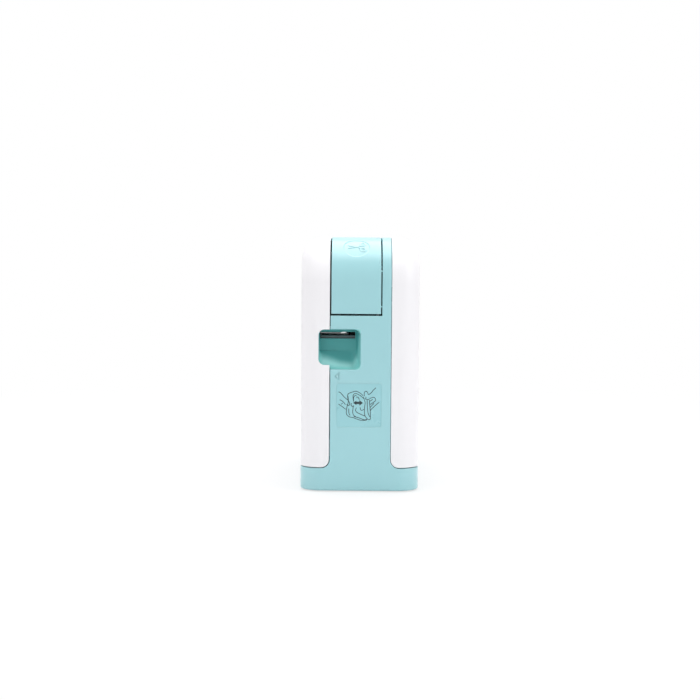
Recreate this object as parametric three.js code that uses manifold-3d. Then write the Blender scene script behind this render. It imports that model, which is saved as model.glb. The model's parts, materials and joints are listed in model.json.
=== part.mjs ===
// A compact tape label printer: two white shells round a mint frame, a cutter key over the top
// corner, a tape cassette, a print unit, a gear drive, a board and six AAA cells.
// Millimetres. +X is the side where the tape comes out, -Y the removable front cover, +Z up.
import * as THREE from "three";
import { mergeVertices } from "three/addons/utils/BufferGeometryUtils.js";
import { ConvexGeometry } from "three/addons/geometries/ConvexGeometry.js";
import Module from "manifold-3d";

const wasm = await Module();
wasm.setup();

// ---- Driving dimensions -------------------------------------------------------------------

// Case.
const CORNER_RADIUS = 23; // top corners, seen from the front
const EDGE_RADIUS = 11; // rounding of the front and back edges
const WALL = 2;
const SEAM = 0.4; // joint between two mouldings
const CLEARANCE = 0.3; // between a piece and what it seats on
const RUNNING_GAP = 0.4; // round a shaft that turns
const FOOT_TOP = 12; // height of the mint foot
const FOOT_FILLET = 4.4; // hollow corner between foot and band
const MIDWALL = 2; // upright wall between the bays and the drive
const FOOT_PROUD = 0.6; // how far the rubber feet lift the case
const RIB = 1.5;
const SIDE_ROOM = 7.25; // from the battery bay to the frame's skin
const TOP_ROOM = 7.5; // from the cassette to the top of the case
const MOTOR_ROOM = 1.4; // from the motor to the back shell
const SEAM_OFFSET = 0.5; // how far the back seam sits behind the middle of its half

// Tape path.
const TAPE_Y = -11.65; // middle of the tape's width
const TAPE_RISE = 21.7; // from the bay's shelf to the tape
const TAPE_WIDTH = 12;
const TAPE_THICKNESS = 0.3;

// Tape outlet, a scoop in the +X side.
const OUTLET_DEPTH = 8.2;
const OUTLET_FRONT = 9.25; // from the tape's middle to the scoop's edges
const OUTLET_BACK = 12.35;
const OUTLET_ABOVE = 2.8;
const OUTLET_BELOW = 17.2;
const OUTLET_RADIUS = 3;
const OUTLET_WALL = 1.4;
const SLOT_ABOVE = 1.3;
const SLOT_BELOW = 1.7;

// Cutter key.
const KEY_FRONT_GAP = 0.35; // from the frame's front edge to the key
const KEY_WIDTH = 24.95;
const KEY_LENGTH = 41.4; // from the +X side to its end on top
const KEY_GAP = 0.6;
const KEY_PIVOT_ROOM = 3.4; // hinge pin, from the key's end on top
const KEY_PIVOT_DOWN = 4.5; // and below the top
const KEY_PIN_RADIUS = 1;
const KEY_ABOVE_TAPE = 10.7; // the key's lower edge, above the tape
const KEY_SWING = 6; // degrees
const KEY_PAD_RADIUS = 7; // round thumb mark
const KEY_PAD_ANGLE = 50; // how far up the corner it sits, degrees
const KEY_PAD_DEPTH = 0.35;

// Cassette.
const CASSETTE_WIDTH = 74;
const CASSETTE_HEIGHT = 46;
const CASSETTE_THICKNESS = 17;
const CASSETTE_WALL = 1.4;
const CASSETTE_IN = 32; // from the +X side to the cassette's right end
const CASSETTE_BELOW = 4.2; // its bottom, below the tape
const HEAD_RECESS_WIDTH = 16;
const HEAD_RECESS_HEIGHT = 17;
const ROLL_ROOM = 4; // round the tape roll
const SUPPLY_SHARE = 0.215; // ribbon supply's radius, of the room over the drive roller
const TAKE_UP_RADIUS = 5;
const HUB_RADIUS = 4;

// Print unit.
const HEAD_WIDTH = 10;
const HEAD_THICKNESS = 0.8;
const PLATEN_RADIUS = 4.5;
const FEED_RADIUS = 4.2;
const ROLLER_SHAFT = 1.1;
const HOLDER_REACH = 37; // from the holder's left end to its right end
const HOLDER_SWING = 9; // degrees
const HOLDER_PIN = 1.5;

// Drive.
const MODULE = 0.8; // gear module
const DRIVE_TEETH = 24;
const TAKE_UP_TEETH = 15;
const IDLER_SMALL_TEETH = 15;
const IDLER_BIG_TEETH = 30;
const PINION_TEETH = 12;
const GEAR_FACE = 2.8;
const SPINDLE_RADIUS = 2.2;
const ARBOR_RADIUS = 1.5;
const GEAR_PLATE = 1.2;
const MOTOR_RADIUS = 10;
const MOTOR_LENGTH = 16;
const MOTOR_CAP = 0.8; // bearing boss on its back
const MOTOR_FLAT = 0.77; // share of the radius at which its sides are flat

// Batteries, six AAA cells in three rows of two.
const CELL_RADIUS = 5.25;
const CELL_LENGTH = 44.5;
const CELL_PITCH = 12;
const CONTACT_ROOM = 4;
const CELL_ROWS = 3;
const CELL_BELOW = 3.25; // from the foot to the lowest cell
const CELL_ABOVE = 6.25; // from the highest cell to the shelf
const TRAY_WALL = 1.6;

// Boards.
const BOARD = 1.6;
const BOARD_GAP = 3; // from the board to the gear plate
const BOARD_OFF = 12; // from the middle wall to the board
const BOARD_ABOVE_FOOT = 18;
const BOARD_GROOVE = 0.6; // how far its edges reach into the rails

// Top controls.
const BUTTON_X = -30;
const BUTTON_RADIUS = 4.5;
const BUTTON_TRAVEL = 0.8;
const LIGHT_X = -18;
const LIGHT_RADIUS = 1.5;

// Fasteners and feet.
const SCREW_RADIUS = 1.3;
const SCREW_HEAD = 2.6;
const BOSS_RADIUS = 3.2;
const RUBBER_RADIUS = 4.5;
const RUBBER_THICKNESS = 1.1;

// Guide sticker.
const STICKER_SIZE = [22.5, 21.8];
const STICKER_FRONT = -11.7;
const STICKER_BOTTOM = 33;
const STICKER_THICKNESS = 0.12;

// ---- Derived places -----------------------------------------------------------------------

const DRIVE_FRONT = MIDWALL / 2;
const BAY_BACK = -MIDWALL / 2;
const LAYER_1 = DRIVE_FRONT + 0.8;
const LAYER_2 = LAYER_1 + GEAR_FACE + CLEARANCE;
const PLATE_Y = LAYER_2 + GEAR_FACE + 0.6;
const MOTOR_FRONT = PLATE_Y + GEAR_PLATE + CLEARANCE;
const BACK = MOTOR_FRONT + MOTOR_LENGTH + MOTOR_CAP + MOTOR_ROOM + WALL;
const FRONT = -BACK;
const DEPTH = BACK - FRONT;
const BAND_FRONT = FRONT / 2; // where the front cover meets the frame
const BAND_BACK = BACK / 2 + SEAM_OFFSET; // where the back shell meets the frame

const CELL_BAY_HALF = RIB / 2 + 2 * CONTACT_ROOM + CELL_LENGTH;
const INNER = CELL_BAY_HALF + RIB + SIDE_ROOM;
const SIDE = INNER + WALL;
const WIDTH = 2 * SIDE;

const CELL_Y = BAY_BACK - CLEARANCE - TRAY_WALL - 0.4 - CELL_RADIUS;
const CELL_FLOOR = FOOT_TOP + CELL_RADIUS + CELL_BELOW;
const SHELF_Z = CELL_FLOOR + (CELL_ROWS - 1) * CELL_PITCH + CELL_RADIUS + CELL_ABOVE; // over the cells
const TAPE_Z = SHELF_Z + RIB + TAPE_RISE; // height of the tape
const HEIGHT = TAPE_Z - CASSETTE_BELOW + CASSETTE_HEIGHT + TOP_ROOM; // from the table to the top

const ARC_X = SIDE - CORNER_RADIUS; // centre of the top corner's arc
const ARC_Z = HEIGHT - CORNER_RADIUS;
const KEY_BOTTOM = HEIGHT - TAPE_Z - KEY_ABOVE_TAPE; // below the top
const KEY_LEFT = SIDE - KEY_LENGTH;
const KEY_PIVOT = { x: KEY_LEFT + KEY_PIVOT_ROOM, z: HEIGHT - KEY_PIVOT_DOWN };
const KEY_FRONT = BAND_FRONT + KEY_FRONT_GAP;
const KEY_BACK = KEY_FRONT + KEY_WIDTH;
const KEY_SWEEP = Math.hypot(SIDE - KEY_PIVOT.x, KEY_BOTTOM - KEY_PIVOT_DOWN);
const CASSETTE = cassettePlace();
const HEAD_X = CASSETTE.recess + HEAD_RECESS_WIDTH / 2 + 1;
const PLATEN = { x: HEAD_X, z: TAPE_Z - TAPE_THICKNESS / 2 - RUNNING_GAP / 2 - PLATEN_RADIUS };
const DRIVE = {
  x: CASSETTE.right - CASSETTE_WALL - 0.6 - FEED_RADIUS,
  z: TAPE_Z + TAPE_THICKNESS / 2 + 0.25 + FEED_RADIUS,
};
const PINCH = { x: DRIVE.x, z: TAPE_Z - TAPE_THICKNESS / 2 - 0.25 - FEED_RADIUS };
const TAKE_UP = atAngle(DRIVE, gearReach(DRIVE_TEETH, TAKE_UP_TEETH), 103);
const IDLER = atAngle(DRIVE, gearReach(DRIVE_TEETH, IDLER_SMALL_TEETH), -60);
const PINION = atAngle(IDLER, gearReach(IDLER_BIG_TEETH, PINION_TEETH), -135);
const HOLDER_PIVOT = { x: HEAD_X - 16, z: TAPE_Z - 11.2 };
const CUTTER_X = SIDE - OUTLET_DEPTH - OUTLET_WALL; // inner face of the scoop's back wall
const BLADE_X = CUTTER_X - 3.2;
const CARRIER_X = BLADE_X - CLEARANCE;
const CARRIER_Z = TAPE_Z + 3.8;
const CARRIER_TOP = CARRIER_Z + 7;
const CUTTER_WELL = { left: CUTTER_X - 9, bottom: TAPE_Z - 9, back: 2.9 };
const JACK = { y: 6, z: FOOT_TOP + 8, radius: 3.2 };
const SHELF_TOP = HEIGHT - 13.6; // shelf that carries the switch board
const BOARD_Y = DRIVE_FRONT + BOARD_OFF;
const BOARD_BACK = BOARD_Y + BOARD;
const BOARD_LEFT = -INNER + 5;
const PLATE_LEFT = CASSETTE.recess;
const BOARD_WIDTH = PLATE_LEFT - BOARD_GAP - BOARD_LEFT;
const BOARD_BOTTOM = FOOT_TOP + BOARD_ABOVE_FOOT;
const BOARD_HEIGHT = SHELF_TOP - 2.9 - BOARD_BOTTOM;

// The cassette's edges, and the left edge of the opening for the print head.
function cassettePlace() {
  const right = SIDE - CASSETTE_IN;
  const bottom = TAPE_Z - CASSETTE_BELOW;
  return {
    right,
    left: right - CASSETTE_WIDTH,
    bottom,
    top: bottom + CASSETTE_HEIGHT,
    back: TAPE_Y + CASSETTE_THICKNESS / 2,
    front: TAPE_Y - CASSETTE_THICKNESS / 2,
    recess: right - 13 - HEAD_RECESS_WIDTH,
    lip: TAPE_Z + 0.6, // underside right of the opening
  };
}

// ---- Geometry helpers -----------------------------------------------------------------------

// A three.js geometry as a solid that can be joined and cut.
function solid(geometry) {
  const bare = geometry.index ? geometry.toNonIndexed() : geometry.clone();
  bare.deleteAttribute("normal");
  bare.deleteAttribute("uv");
  const merged = mergeVertices(bare, 1e-4);
  return new wasm.Manifold(
    new wasm.Mesh({
      numProp: 3,
      vertProperties: merged.attributes.position.array,
      triVerts: new Uint32Array(merged.index.array),
    }),
  );
}

function box(x0, x1, y0, y1, z0, z1) {
  const geometry = new THREE.BoxGeometry(x1 - x0, y1 - y0, z1 - z0);
  geometry.translate((x0 + x1) / 2, (y0 + y1) / 2, (z0 + z1) / 2);
  return solid(geometry);
}

// Corners [u, v, radius] as outline points, with each radius drawn as an arc.
function outline(corners, steps = 4) {
  const points = [];
  corners.forEach(([u, v, radius = 0], i) => {
    const corner = new THREE.Vector2(u, v);
    if (!radius) {
      points.push(corner);
      return;
    }
    const [lastU, lastV] = corners.at(i - 1);
    const [nextU, nextV] = corners[(i + 1) % corners.length];
    const back = new THREE.Vector2(lastU, lastV).sub(corner).normalize();
    const ahead = new THREE.Vector2(nextU, nextV).sub(corner).normalize();
    const half = Math.acos(back.dot(ahead)) / 2;
    const centre = back.clone().add(ahead).normalize();
    centre.multiplyScalar(radius / Math.sin(half)).add(corner);
    const tangent = radius / Math.tan(half);
    const start = back.multiplyScalar(tangent).add(corner).sub(centre);
    const end = ahead.multiplyScalar(tangent).add(corner).sub(centre);
    const turn = Math.atan2(start.cross(end), start.dot(end));
    for (let k = 0; k <= steps; k++) {
      const angle = start.angle() + (turn * k) / steps;
      points.push(new THREE.Vector2(Math.cos(angle), Math.sin(angle)).multiplyScalar(radius).add(centre));
    }
  });
  return points;
}

function circle(radius, u, v, segments = 24) {
  const points = [];
  for (let k = 0; k < segments; k++) {
    const angle = (2 * Math.PI * k) / segments;
    points.push(new THREE.Vector2(u + radius * Math.cos(angle), v + radius * Math.sin(angle)));
  }
  return points;
}

// Points drawn in (x, z), made solid from y0 to y1.
function prismY(points, y0, y1) {
  const geometry = new THREE.ExtrudeGeometry(new THREE.Shape(points), { depth: y1 - y0, bevelEnabled: false });
  geometry.rotateX(Math.PI / 2);
  geometry.translate(0, y1, 0);
  return solid(geometry);
}

// Points drawn in (y, z), made solid from x0 to x1.
function prismX(points, x0, x1) {
  const geometry = new THREE.ExtrudeGeometry(new THREE.Shape(points), { depth: x1 - x0, bevelEnabled: false });
  geometry.applyMatrix4(new THREE.Matrix4().makeBasis(
    new THREE.Vector3(0, 1, 0),
    new THREE.Vector3(0, 0, 1),
    new THREE.Vector3(1, 0, 0),
  ));
  geometry.translate(x0, 0, 0);
  return solid(geometry);
}

// Points drawn in (x, y), made solid from z0 to z1.
function prismZ(points, z0, z1) {
  const geometry = new THREE.ExtrudeGeometry(new THREE.Shape(points), { depth: z1 - z0, bevelEnabled: false });
  geometry.translate(0, 0, z0);
  return solid(geometry);
}

const rodY = (radius, x, z, y0, y1, segments = 16) => prismY(circle(radius, x, z, segments), y0, y1);
const rodX = (radius, y, z, x0, x1, segments = 16) => prismX(circle(radius, y, z, segments), x0, x1);
const rodZ = (radius, x, y, z0, z1, segments = 16) => prismZ(circle(radius, x, y, segments), z0, z1);

function joined(...solids) {
  return solids.reduce((sum, next) => sum.add(next));
}

function atAngle(from, reach, degrees) {
  const angle = THREE.MathUtils.degToRad(degrees);
  return { x: from.x + reach * Math.cos(angle), z: from.z + reach * Math.sin(angle), angle };
}

// ---- Case shape -----------------------------------------------------------------------------

// The case's front outline, this far inside its surface.
function frontOutline(inset, bottom) {
  const half = SIDE - inset;
  const top = HEIGHT - inset;
  const radius = CORNER_RADIUS - inset;
  return outline([[-half, bottom], [half, bottom], [half, top, radius], [-half, top, radius]], 8);
}

// The rounded block of the whole case, this far inside its surface, cut flat at the bottom.
function caseBlock(inset, bottom) {
  const radius = EDGE_RADIUS - inset;
  const skirt = bottom - 2 * EDGE_RADIUS;
  const geometry = new THREE.ExtrudeGeometry(new THREE.Shape(frontOutline(inset, skirt)), {
    depth: DEPTH - 2 * EDGE_RADIUS,
    bevelThickness: radius,
    bevelSize: radius,
    bevelOffset: -radius,
    bevelSegments: 5,
  });
  geometry.rotateX(Math.PI / 2);
  geometry.translate(0, DEPTH / 2 - EDGE_RADIUS, 0);
  return solid(geometry).intersect(box(-WIDTH, WIDTH, -DEPTH, DEPTH, bottom, 2 * HEIGHT));
}

const OUTER = caseBlock(0, FOOT_PROUD);
const INSIDE = caseBlock(WALL, FOOT_PROUD - 1);

// The tape outlet's scoop: narrow at its back, wide at its mouth.
function scoop() {
  const mouth = outline([
    [TAPE_Y - OUTLET_FRONT, TAPE_Z - OUTLET_BELOW, OUTLET_RADIUS],
    [TAPE_Y + OUTLET_BACK, TAPE_Z - OUTLET_BELOW, OUTLET_RADIUS],
    [TAPE_Y + OUTLET_BACK, TAPE_Z + OUTLET_ABOVE, OUTLET_RADIUS],
    [TAPE_Y - OUTLET_FRONT, TAPE_Z + OUTLET_ABOVE, OUTLET_RADIUS],
  ]);
  const throat = outline([
    [TAPE_Y - 8.75, TAPE_Z - 8.7, 1.5],
    [TAPE_Y + 9.65, TAPE_Z - 8.7, 2.5],
    [TAPE_Y + 9.65, TAPE_Z + 2.4, 1.5],
    [TAPE_Y - 8.75, TAPE_Z + 2.4, 1],
  ]);
  const points = [];
  mouth.forEach((p) => points.push(new THREE.Vector3(SIDE + 0.02, p.x, p.y)));
  mouth.forEach((p) => points.push(new THREE.Vector3(SIDE + 2, p.x, p.y)));
  throat.forEach((p) => points.push(new THREE.Vector3(SIDE - OUTLET_DEPTH + 1.7, p.x, p.y)));
  const pocket = prismX(outline([
    [TAPE_Y - 8.15, TAPE_Z - 8],
    [TAPE_Y + 9.3, TAPE_Z - 8, 2.2],
    [TAPE_Y + 9.3, TAPE_Z + SLOT_ABOVE],
    [TAPE_Y - 8.15, TAPE_Z + SLOT_ABOVE],
  ]), SIDE - OUTLET_DEPTH, SIDE);
  const slot = box(CUTTER_X - 1, SIDE - 2, TAPE_Y - 8.75, TAPE_Y + 9.25, TAPE_Z - SLOT_BELOW, TAPE_Z + SLOT_ABOVE);
  return joined(solid(new ConvexGeometry(points)), pocket, slot);
}

// The region of the key, grown by a gap: inside the sweep of its lower edge about its pin.
function keyRegion(gap) {
  const { x, z } = KEY_PIVOT;
  const sweep = prismY(circle(KEY_SWEEP + gap, x, z, 96), KEY_FRONT - 9 * gap, KEY_BACK + gap);
  return sweep.intersect(box(KEY_LEFT - gap, WIDTH, FRONT, BACK, 0, 2 * HEIGHT));
}

// ---- Main frame -----------------------------------------------------------------------------

function frameProfile() {
  return outline([
    [FRONT - 1, 0],
    [BACK + 1, 0],
    [BACK + 1, FOOT_TOP],
    [BAND_BACK, FOOT_TOP, FOOT_FILLET],
    [BAND_BACK, HEIGHT + 1],
    [BAND_FRONT, HEIGHT + 1],
    [BAND_FRONT, FOOT_TOP, FOOT_FILLET],
    [FRONT - 1, FOOT_TOP],
  ], 6);
}

// The visible skin: the band over the top and down the sides, and the foot with its deck.
function frameSkin() {
  const above = box(-SIDE, SIDE, BAND_FRONT - 5, BAND_BACK + 5, FOOT_TOP, HEIGHT);
  const below = box(-SIDE, SIDE, FRONT, BACK, -1, FOOT_TOP - WALL);
  return OUTER.intersect(prismX(frameProfile(), -SIDE, SIDE))
    .subtract(INSIDE.intersect(above))
    .subtract(INSIDE.intersect(below))
    .subtract(keyRegion(KEY_GAP));
}

// The tub behind the outlet's scoop.
function outletTub() {
  const low = TAPE_Z - OUTLET_BELOW - OUTLET_WALL;
  const high = TAPE_Z + OUTLET_ABOVE + 1.2;
  const front = TAPE_Y - OUTLET_FRONT - OUTLET_WALL;
  const back = TAPE_Y + OUTLET_BACK + OUTLET_WALL;
  return joined(
    box(CUTTER_X, SIDE, front, BAND_FRONT + 0.2, low, high).intersect(caseBlock(WALL + CLEARANCE, FOOT_TOP)),
    box(CUTTER_X, SIDE - 1, BAND_FRONT, back, low, high),
  );
}

const CASE_SCREWS = [
  { x: 13.25 - CELL_BAY_HALF, z: FOOT_TOP + 8 },
  { x: CELL_BAY_HALF - 3.25, z: FOOT_TOP + 8 },
  { x: -ARC_X - 9, z: HEIGHT - 10.5 },
  { x: KEY_LEFT - 10, z: HEIGHT - 10.5 },
];
const PLATE_SCREWS = [
  { x: PLATE_LEFT + 4, z: TAPE_Z + 12.8 },
  { x: PINION.x + 18.6, z: PINION.z - 6.4 },
];
const PLATE_PINS = [
  { x: DRIVE.x + 14.5, z: DRIVE.z + 4.2 },
  { x: PINION.x - 13.4, z: PINION.z - 2.4 },
];
const BASE_SCREWS = [-1, 1].map((side) => ({ x: side * (SIDE - 21), y: BACK - 8 }));
const PIN_RADIUS = 1.1; // moulded pins that hold the gear plate

// Openings in the skin for the power button, the light window and the supply socket.
function skinOpenings() {
  return joined(
    rodZ(BUTTON_RADIUS + RUNNING_GAP, BUTTON_X, controlsY(), HEIGHT - 6, HEIGHT + 1, 28),
    rodZ(LIGHT_RADIUS + CLEARANCE, LIGHT_X, controlsY(), HEIGHT - 6, HEIGHT + 1, 16),
    rodX(JACK.radius + 1, JACK.y, JACK.z, -SIDE - 1, -INNER + 1, 24),
  );
}

function controlsY() {
  return (DRIVE_FRONT + BAND_BACK) / 2;
}

// A three-sided groove that points to the front cover.
function arrowMark() {
  const y = TAPE_Y + 0.1;
  const z = TAPE_Z - 20.7;
  const size = 2.1;
  const big = [[y - size * 0.75, z], [y + size * 0.55, z - size], [y + size * 0.55, z + size]];
  const small = big.map(([u, v]) => [y + (u - y) * 0.62, z + (v - z) * 0.62]);
  const groove = prismX(big.map(([u, v]) => new THREE.Vector2(u, v)), SIDE - 0.3, SIDE + 1);
  return groove.subtract(prismX(small.map(([u, v]) => new THREE.Vector2(u, v)), SIDE - 0.4, SIDE + 2));
}

function stickerPocket(depth, gap) {
  const [width, height] = STICKER_SIZE;
  return box(SIDE - depth, SIDE + 1, STICKER_FRONT - gap, STICKER_FRONT + width + gap,
    STICKER_BOTTOM - gap, STICKER_BOTTOM + height + gap);
}

// Bosses under the deck for the base plate's screws.
function baseBosses() {
  return joined(...BASE_SCREWS.map(({ x, y }) => (
    rodZ(BOSS_RADIUS, x, y, BASE_TOP + CLEARANCE, FOOT_TOP - 1, 14)
      .subtract(rodZ(SCREW_RADIUS + CLEARANCE, x, y, 0, FOOT_TOP - 2.5, 12))
  )));
}

function mainFrame() {
  return joined(frameSkin(), outletTub(), baseBosses())
    .subtract(scoop())
    .subtract(skinOpenings())
    .subtract(arrowMark())
    .subtract(stickerPocket(0.2, 0.1));
}

// ---- Mechanism wall -------------------------------------------------------------------------

// The upright wall between the bays in front and the drive behind, clear of the cutter's guide,
// the outlet's tub and the sweep of the key.
function middleWall() {
  const near = WALL + CLEARANCE;
  const corner = box(KEY_PIVOT.x + 5, WIDTH, BAY_BACK - 1, DRIVE_FRONT + 1, HEIGHT - KEY_BOTTOM - 6, 2 * HEIGHT)
    .subtract(prismY(frontOutline(8, 0), BAY_BACK - 1, DRIVE_FRONT + 1));
  const guide = box(CUTTER_WELL.left - RIB - CLEARANCE, WIDTH, -WALL, WALL,
    CUTTER_WELL.bottom - RIB - CLEARANCE, 2 * HEIGHT);
  const tub = box(CUTTER_X - CLEARANCE, WIDTH, -WALL, WALL,
    TAPE_Z - OUTLET_BELOW - OUTLET_WALL - CLEARANCE, 2 * HEIGHT);
  const keyEnd = box(KEY_LEFT - 1, WIDTH, -WALL, WALL, KEY_PIVOT.z - 0.5, HEIGHT);
  return prismY(frontOutline(near, FOOT_TOP + CLEARANCE), BAY_BACK, DRIVE_FRONT)
    .subtract(joined(corner, guide, tub, keyEnd));
}

// A round post from the middle wall back to y1.
function postY({ x, z }, radius, y1) {
  return rodY(radius, x, z, DRIVE_FRONT - 0.5, y1, 10);
}

// Bosses and pins that hold the gear plate, and the bosses round the two pivots.
function wallBosses() {
  const { x, z } = KEY_PIVOT;
  return joined(
    ...[...PLATE_SCREWS, ...PLATE_PINS].map((at) => postY(at, 3, PLATE_Y - CLEARANCE)),
    ...PLATE_PINS.map((at) => postY(at, PIN_RADIUS, PLATE_Y + GEAR_PLATE + 1)),
    rodY(HOLDER_PIN + 1.8, HOLDER_PIVOT.x, HOLDER_PIVOT.z, BAY_BACK - 1.2, DRIVE_FRONT + 2, 16),
    rodY(KEY_PIN_RADIUS + 1.2, x, z, -3, 3, 16),
    box(x - 2.2, x + 2.2, BAY_BACK, DRIVE_FRONT, z - 8, z),
  );
}

// The cassette's ledge and end stop, and the two rails that its back seats on.
function cassetteBay() {
  const front = BAND_FRONT + 0.1;
  const back = BAY_BACK + 0.5;
  const low = CASSETTE.bottom - CLEARANCE;
  const left = CASSETTE.left - CLEARANCE;
  const rails = [CASSETTE.left + 6, CASSETTE.recess - 8].map((x) => (
    box(x - RIB / 2, x + RIB / 2, CASSETTE.back + CLEARANCE, back, low, CASSETTE.top - 4)
  ));
  return joined(
    box(left - RIB, CASSETTE.recess - 3, front, back, low - RIB, low),
    box(left - RIB, left, front, back, low - RIB, CASSETTE.top - 6),
    ...rails,
  );
}

// Grooved rails that hold the main board's edges, the ledge under it, and the switch board's shelf.
function boardRails() {
  const from = DRIVE_FRONT - 0.5;
  const rear = BOARD_BACK + 1;
  const top = BOARD_BOTTOM + BOARD_HEIGHT;
  const right = BOARD_LEFT + BOARD_WIDTH;
  const grooveLeft = BOARD_LEFT - CLEARANCE;
  const grooveRight = right + CLEARANCE;
  const groove = box(grooveLeft, grooveRight, BOARD_Y - CLEARANCE, BOARD_BACK + CLEARANCE, BOARD_BOTTOM, top + 1);
  return joined(
    box(grooveLeft - 1, BOARD_LEFT + BOARD_GROOVE, from, rear, BOARD_BOTTOM - RIB, top),
    box(right - BOARD_GROOVE, grooveRight + 1, from, rear, BOARD_BOTTOM - RIB, top),
    box(grooveLeft - 1, grooveRight + 1, from, rear, BOARD_BOTTOM - CLEARANCE - RIB, BOARD_BOTTOM - CLEARANCE),
  )
    .subtract(groove)
    .add(box(BUTTON_X - 6, LIGHT_X + 4, from, BAND_BACK - 1.5, SHELF_TOP - 1.2, SHELF_TOP));
}

// Holes for screws, spindles, the holder's pin and the key's pin.
function wallHoles() {
  const hole = (radius, { x, z }, y0, y1) => rodY(radius, x, z, y0, y1, 14);
  const through = (radius, at) => hole(radius, at, BAY_BACK - 5, DRIVE_FRONT + 2.5);
  return joined(
    ...CASE_SCREWS.map((at) => through(SCREW_RADIUS + CLEARANCE, at)),
    through(SPINDLE_RADIUS + RUNNING_GAP, DRIVE),
    through(SPINDLE_RADIUS + RUNNING_GAP, TAKE_UP),
    through(HOLDER_PIN + CLEARANCE, HOLDER_PIVOT),
    hole(KEY_PIN_RADIUS + CLEARANCE, KEY_PIVOT, -4, 4),
    ...PLATE_SCREWS.map((at) => hole(SCREW_RADIUS, at, DRIVE_FRONT + 1, PLATE_Y)),
  );
}

function mechanismWall() {
  return joined(middleWall(), wallBosses(), cassetteBay(), boardRails()).subtract(wallHoles());
}

// ---- Battery bay ----------------------------------------------------------------------------

// A tray in front of the middle wall: floor, ends, centre rib, shelf, and low ribs between rows.
function batteryBay() {
  const end = CELL_BAY_HALF;
  const front = BAND_FRONT + 0.1;
  const back = BAY_BACK - CLEARANCE;
  const face = back - TRAY_WALL;
  const low = FOOT_TOP + CLEARANCE;
  const wide = INNER - CLEARANCE;
  const rowRibs = [];
  for (let row = 1; row < CELL_ROWS; row++) {
    const z = CELL_FLOOR + (row - 0.5) * CELL_PITCH;
    for (const side of [-1, 1]) {
      const [x0, x1] = [side * (CONTACT_ROOM + 1.5), side * (end - CONTACT_ROOM)].sort((p, q) => p - q);
      rowRibs.push(box(x0, x1, face - 2.6, face + 0.5, z - 0.45, z + 0.45));
    }
  }
  const heads = CASE_SCREWS.slice(0, 2).map(({ x, z }) => rodY(SCREW_HEAD + CLEARANCE, x, z, face - 1, back + 1, 14));
  return joined(
    box(-end - RIB, end + RIB, face, back, low, SHELF_Z + RIB),
    box(-wide, wide, front, back, SHELF_Z, SHELF_Z + RIB),
    box(-end - RIB, end + RIB, front, back, low, low + RIB),
    box(-end - RIB, -end, front, back, low, SHELF_Z + 0.5),
    box(end, end + RIB, front, back, low, SHELF_Z + 0.5),
    box(-RIB / 2, RIB / 2, front, back, low, SHELF_Z + 0.5),
    ...rowRibs,
  ).subtract(joined(...heads));
}

// ---- Shells ---------------------------------------------------------------------------------

// The front cover or the back shell: the case's block beyond the seam, hollow towards the frame.
function shell(face, seam) {
  const inward = Math.sign(seam);
  const beyond = face + inward;
  const low = FOOT_TOP + SEAM;
  const profile = outline([
    [seam, HEIGHT + 1],
    [seam, low, FOOT_FILLET - SEAM],
    [beyond, low],
    [beyond, HEIGHT + 1],
  ], 6);
  const hollow = INSIDE.intersect(box(-SIDE, SIDE, -DEPTH, DEPTH, low + WALL, HEIGHT));
  return OUTER.intersect(prismX(profile, -SIDE, SIDE)).subtract(hollow);
}

// Tongues that reach behind the frame's skin and hold the cover in line.
function coverTongues() {
  const tongues = [];
  const reach = BAND_FRONT + 5;
  const root = BAND_FRONT - 6;
  const skin = INNER - SEAM;
  for (const [side, z] of [[-1, FOOT_TOP + 22], [-1, HEIGHT - 33], [1, FOOT_TOP + 10], [1, SHELF_Z - 7]]) {
    const tongue = box(skin - 1.2, skin, root, reach, z - 4, z + 4)
      .add(box(skin - 1.2, INNER + WALL / 2, root, BAND_FRONT - 2.5, z - 4, z + 4));
    tongues.push(side > 0 ? tongue : tongue.mirror([1, 0, 0]));
  }
  return joined(...tongues);
}

function frontCover() {
  const notch = prismX(outline([
    [TAPE_Y - OUTLET_FRONT, TAPE_Z - OUTLET_BELOW, OUTLET_RADIUS],
    [0, TAPE_Z - OUTLET_BELOW],
    [0, TAPE_Z + OUTLET_ABOVE],
    [TAPE_Y - OUTLET_FRONT, TAPE_Z + OUTLET_ABOVE, OUTLET_RADIUS],
  ]), SIDE - 5, SIDE + 1);
  return shell(FRONT, BAND_FRONT - SEAM).add(coverTongues()).subtract(notch);
}

function backShell() {
  const seam = BAND_BACK + SEAM / 2;
  const bosses = CASE_SCREWS.map(({ x, z }) => rodY(BOSS_RADIUS, x, z, DRIVE_FRONT + CLEARANCE, BACK - WALL / 2, 16));
  const holes = CASE_SCREWS.map(({ x, z }) => rodY(SCREW_RADIUS + CLEARANCE, x, z, 0, DRIVE_FRONT + 15, 12));
  return shell(BACK, seam).add(joined(...bosses).intersect(caseBlock(WALL / 2, FOOT_TOP))).subtract(joined(...holes));
}

// ---- Cutter ---------------------------------------------------------------------------------

function keySkin() {
  return OUTER.subtract(INSIDE).intersect(keyRegion(0)).intersect(
    box(KEY_LEFT, WIDTH, KEY_FRONT, KEY_BACK, 0, 2 * HEIGHT),
  );
}

// The round thumb mark is a shallow dish cut square to the corner's arc.
function keyDish() {
  const angle = THREE.MathUtils.degToRad(KEY_PAD_ANGLE);
  const geometry = new THREE.CylinderGeometry(KEY_PAD_RADIUS, KEY_PAD_RADIUS, 4, 32);
  geometry.translate(0, CORNER_RADIUS - keyDishSag() - KEY_PAD_DEPTH + 2, 0);
  geometry.rotateX(Math.PI / 2);
  geometry.rotateY(Math.PI / 2 - angle);
  geometry.translate(ARC_X, (KEY_FRONT + KEY_BACK) / 2, ARC_Z);
  return solid(geometry);
}

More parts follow.
